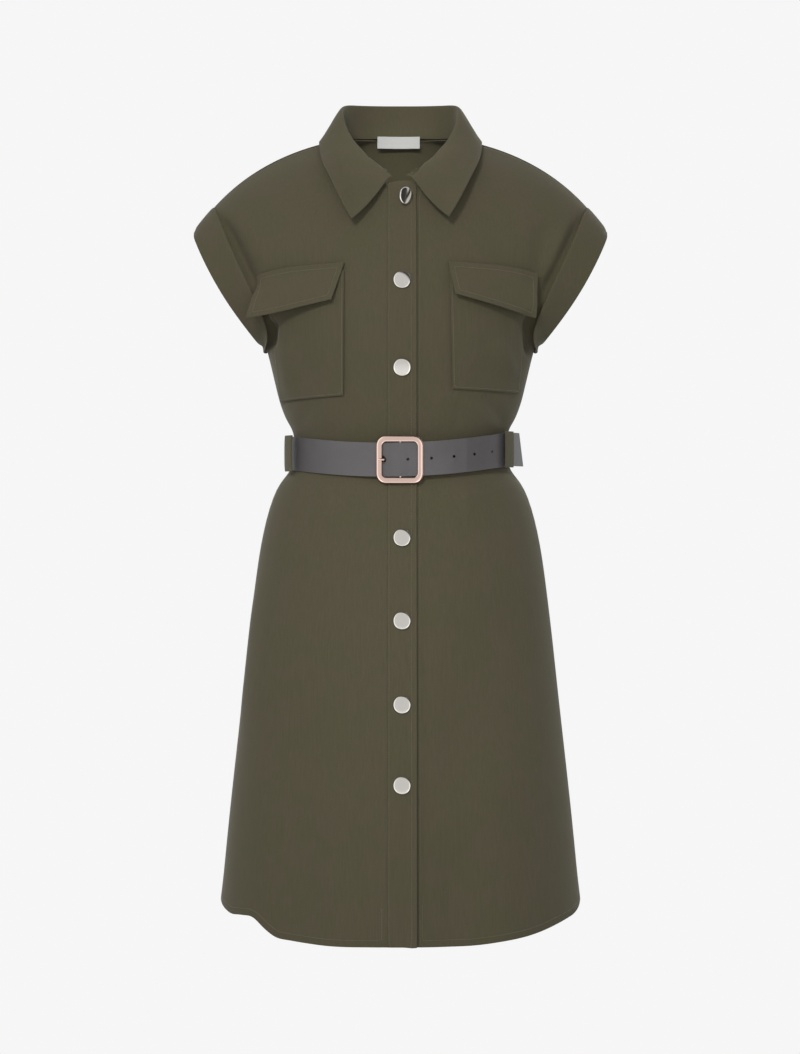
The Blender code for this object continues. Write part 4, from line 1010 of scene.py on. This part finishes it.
# %% Prong
PRONG_STOUTER = 1.5         # smoothing thins the pin, so it is first made this much taller
prong = link("buckle_pin", nodes["buckle_prong"].data.copy())
with opened(prong.data) as bm:
    bmesh.ops.remove_doubles(bm, verts=bm.verts, dist=1e-6)
    bmesh.ops.join_triangles(bm, faces=bm.faces, angle_face_threshold=math.radians(30),
                             angle_shape_threshold=math.radians(70))
prong.data.shade_smooth()
points = points_of(prong.data)
axis = points[:, 2].mean()
points[:, 2] = axis + (points[:, 2] - axis) * PRONG_STOUTER
set_points(prong.data, points)
apply_modifier(prong, "SUBSURF", levels=1, render_levels=1)
hand_over(prong, ROSE_GOLD, "buckle_metal", "buckle_prong")
print("pin", [round(v, 4) for v in prong.dimensions])

# %% [markdown]
# ## Buttons
# Each button is a shallow polished dome with a rounded rim. One is modelled from a cylinder whose
# top is inset and lifted four times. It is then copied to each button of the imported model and
# turned to face the way that one faces.

# %% One button
BUTTON_RADIUS = 0.0097
BUTTON_RIM = 0.0018
BUTTON_FOOT = 0.0015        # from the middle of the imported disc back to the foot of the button
BUTTON_RINGS = (
    # inset, lift
    (0.0008, 0.00045),
    (0.0026, 0.00040),
    (0.0030, 0.00018),
    (0.0020, 0.00004),
)


def facing_of(node):
    """The direction a thin round solid faces: its thinnest axis, pointing forwards."""
    points = points_of(nodes[node].data)
    centred = points - points.mean(axis=0)
    axis = np.linalg.svd(centred, full_matrices=False)[2][2]
    return Vector(axis if axis[1] < 0 else -axis)


def button_shape():
    bpy.ops.object.select_all(action="DESELECT")
    bpy.ops.mesh.primitive_cylinder_add(vertices=48, radius=BUTTON_RADIUS, depth=BUTTON_RIM,
                                        location=(0, 0, BUTTON_RIM / 2))
    button = settle("pattern_button")
    bpy.ops.object.mode_set(mode="EDIT")
    for inset, lift in BUTTON_RINGS:
        bpy.ops.mesh.select_all(action="DESELECT")
        bm = bmesh.from_edit_mesh(button.data)
        top = max(bm.faces, key=lambda f: (len(f.verts) > 4) * f.calc_center_median().z)
        top.select_set(True)
        bmesh.update_edit_mesh(button.data)
        bpy.ops.mesh.inset(thickness=inset, depth=lift)
    bpy.ops.object.mode_set(mode="OBJECT")
    apply_modifier(button, "BEVEL", width=0.00035, segments=2, limit_method="ANGLE",
                   angle_limit=math.radians(40))
    apply_modifier(button, "SUBSURF", levels=1, render_levels=1)
    button.data.shade_smooth()
    return button


pattern = button_shape()
for number in range(1, 9):
    node = f"button_{number}"
    low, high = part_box(node)
    facing = facing_of(node)
    button = link(f"metal_button_{number}", pattern.data.copy())
    turn = facing.to_track_quat("Z", "Y").to_matrix().to_4x4()
    place = Matrix.Translation((low + high) / 2 - facing * BUTTON_FOOT)
    button.data.transform(place @ turn)
    hand_over(button, PALE_METAL, "button_metal", node)
bpy.data.objects.remove(pattern)
print("eight buttons")

# %% [markdown]
# ## Label
# A small blank satin label is sewn across the back neck seam.

# %% Label
def satin_material():
    material = bpy.data.materials.new("white_satin")
    make = Nodes(material)
    weft = make.noise(make.object_points((300, 300, 2600)), 1.0, 2.0)
    make.feed("Base Color", make.mix_colours(weft, (0.46, 0.46, 0.44, 1), (0.54, 0.54, 0.52, 1)))
    make.even(roughness=0.42, sheen_weight=0.2)
    make.feed("Normal", make.bump(weft, 0.00006))
    return material


def to_the_front(face):
    return -face.normal.y


label = showing_face("label", "blank_neck_label", to_the_front)
subdivide(label, 3)
add_modifier(label, "SOLIDIFY", thickness=0.0005, offset=-1.0)
hand_over(label, satin_material(), "label_satin", "label")
print("label", [round(v, 4) for v in label.dimensions])

# %% [markdown]
# ## Studio
# The dress stands in soft, even light that comes mostly from the upper left, in front of a plain
# pale ground. The ground only serves as a backdrop, so it is kept from lighting the dress. The
# sky has three parts: what lights the cloth, what polished metal mirrors and what the camera sees.

# %% Floor and backdrop
PALE = (0.922, 0.922, 0.922, 1)
bpy.ops.object.select_all(action="DESELECT")
bpy.ops.mesh.primitive_plane_add(size=60, location=(0, 0, -1.6))
floor = bpy.context.object
floor.name = "studio_floor"
floor_paint = bpy.data.materials.new("pale_floor")
Nodes(floor_paint).even(base_color=(0, 0, 0, 1), specular_ior_level=0,
                        emission_color=PALE, emission_strength=1)
floor.data.materials.append(floor_paint)
floor.visible_diffuse = floor.visible_glossy = floor.visible_shadow = False

# %% Sky of the studio
world = bpy.data.worlds.new("studio")
bpy.context.scene.world = world
world.use_nodes = True
tree = world.node_tree
tree.nodes.clear()


def world_node(kind, **settings):
    node = tree.nodes.new(kind)
    for key, value in settings.items():
        setattr(node, key, value)
    return node


direction = world_node("ShaderNodeTexCoord")
apart = world_node("ShaderNodeSeparateXYZ")
tree.links.new(direction.outputs["Generated"], apart.inputs[0])


def ramp(value, low, high, to_low=0.0, to_high=1.0):
    node = world_node("ShaderNodeMapRange", interpolation_type="SMOOTHSTEP")
    for socket, number in zip(node.inputs[1:5], (low, high, to_low, to_high)):
        socket.default_value = number
    tree.links.new(value, node.inputs["Value"])
    return node.outputs["Result"]


def maths(operation, *values):
    node = world_node("ShaderNodeMath", operation=operation)
    for socket, value in zip(node.inputs, values):
        if isinstance(value, bpy.types.NodeSocket):
            tree.links.new(value, socket)
        else:
            socket.default_value = value
    return node.outputs[0]


lit = world_node("ShaderNodeBackground")
tree.links.new(ramp(apart.outputs["Z"], -0.9, 0.7, 0.35, 0.46), lit.inputs["Strength"])
lit.inputs["Color"].default_value = (1, 1, 1, 1)
seen = world_node("ShaderNodeBackground")
seen.inputs["Color"].default_value = PALE
# Polished metal mirrors walls that are bright to the left and right and dimmer straight ahead,
# a brighter floor, and dark flags at the upper right, the far right and the left.
FLAG_SHADE = 0.93
MIRRORED = (
    # share of the way from left to right, half the brightness there
    (0.00, 0.30), (0.04, 0.50), (0.11, 0.85), (0.22, 0.80), (0.30, 0.46), (0.50, 0.43),
    (0.66, 0.45), (0.73, 0.80), (0.80, 0.80), (0.89, 0.42), (1.00, 0.36),
)
walls = world_node("ShaderNodeValToRGB")
while len(walls.color_ramp.elements) < len(MIRRORED):
    walls.color_ramp.elements.new(1.0)
for stop, (place, half) in zip(walls.color_ramp.elements, MIRRORED):
    stop.position = place
    stop.color = (half, half, half, 1)
tree.links.new(maths("MULTIPLY_ADD", apart.outputs["X"], 0.5, 0.5), walls.inputs[0])
to_upper_right = world_node("ShaderNodeVectorMath", operation="DOT_PRODUCT")
to_upper_right.inputs[1].default_value = (0.6, 0, 0.8)
tree.links.new(direction.outputs["Generated"], to_upper_right.inputs[0])
in_front = ramp(apart.outputs["Y"], 0.04, -0.06)
upper_flag = maths("MULTIPLY", ramp(to_upper_right.outputs["Value"], 0.46, 0.60), in_front)
side_flag = maths("MULTIPLY", ramp(apart.outputs["X"], 0.78, 0.84), in_front)
left_flag = maths("MULTIPLY", ramp(apart.outputs["Y"], -0.25, 0.0),
                  ramp(apart.outputs["X"], -0.5, -0.8))
flags = maths("MAXIMUM", maths("MAXIMUM", upper_flag, side_flag),
              maths("MULTIPLY", left_flag, 0.8))
from_below = maths("MULTIPLY_ADD", ramp(apart.outputs["Z"], -0.05, -0.45), 0.7, 2.0)
mirrored = maths("MULTIPLY", maths("MULTIPLY", walls.outputs["Color"], from_below),
                 maths("SUBTRACT", 1.0, maths("MULTIPLY", flags, FLAG_SHADE)))
bright = world_node("ShaderNodeBackground")
tree.links.new(mirrored, bright.inputs["Strength"])
ray = world_node("ShaderNodeLightPath")
out = world_node("ShaderNodeOutputWorld")
shown = lit.outputs[0]
for kind, other in (("Is Glossy Ray", bright), ("Is Camera Ray", seen)):
    choose = world_node("ShaderNodeMixShader")
    tree.links.new(ray.outputs[kind], choose.inputs[0])
    tree.links.new(shown, choose.inputs[1])
    tree.links.new(other.outputs[0], choose.inputs[2])
    shown = choose.outputs[0]
tree.links.new(shown, out.inputs[0])

# %% Lamps
DRESS_MIDDLE = (0, 0, -0.45)


def lamp(name, kind, place, aim, power, **settings):
    light = bpy.data.lights.new(name, kind)
    light.energy = power
    for key, value in settings.items():
        setattr(light, key, value)
    thing = link(name, light)
    thing.location = place
    thing.rotation_euler = (Vector(aim) - Vector(place)).to_track_quat("-Z", "Y").to_euler()
    thing.visible_glossy = False


def soft_light(name, place, size, power):
    lamp(name, "AREA", place, DRESS_MIDDLE, power, shape="DISK", size=size)


def soft_spot(name, place, aim, reach, power, size=0.3):
    """A round pool of light that fades out evenly at this reach from its middle."""
    far = (Vector(aim) - Vector(place)).length
    lamp(name, "SPOT", place, aim, power, shadow_soft_size=size,
         spot_size=2 * math.atan(reach / far), spot_blend=1.0)


soft_light("key_light", (-0.8, -3.0, 1.20), 0.6, 50)
soft_light("front_light", (0.4, -3.2, -0.30), 1.6, 14)
soft_light("back_light", (1.0, 3.2, 0.9), 1.6, 40)
soft_spot("skirt_pool", (-0.3, -3.4, -0.3), (0.02, -0.1, -0.50), 0.50, 60)
soft_spot("neck_pool", (0.0, -2.6, 1.0), (0.0, 0.05, -0.03), 0.060, 215, 0.05)
bpy.context.scene.view_settings.view_transform = "Standard"
print("studio ready")
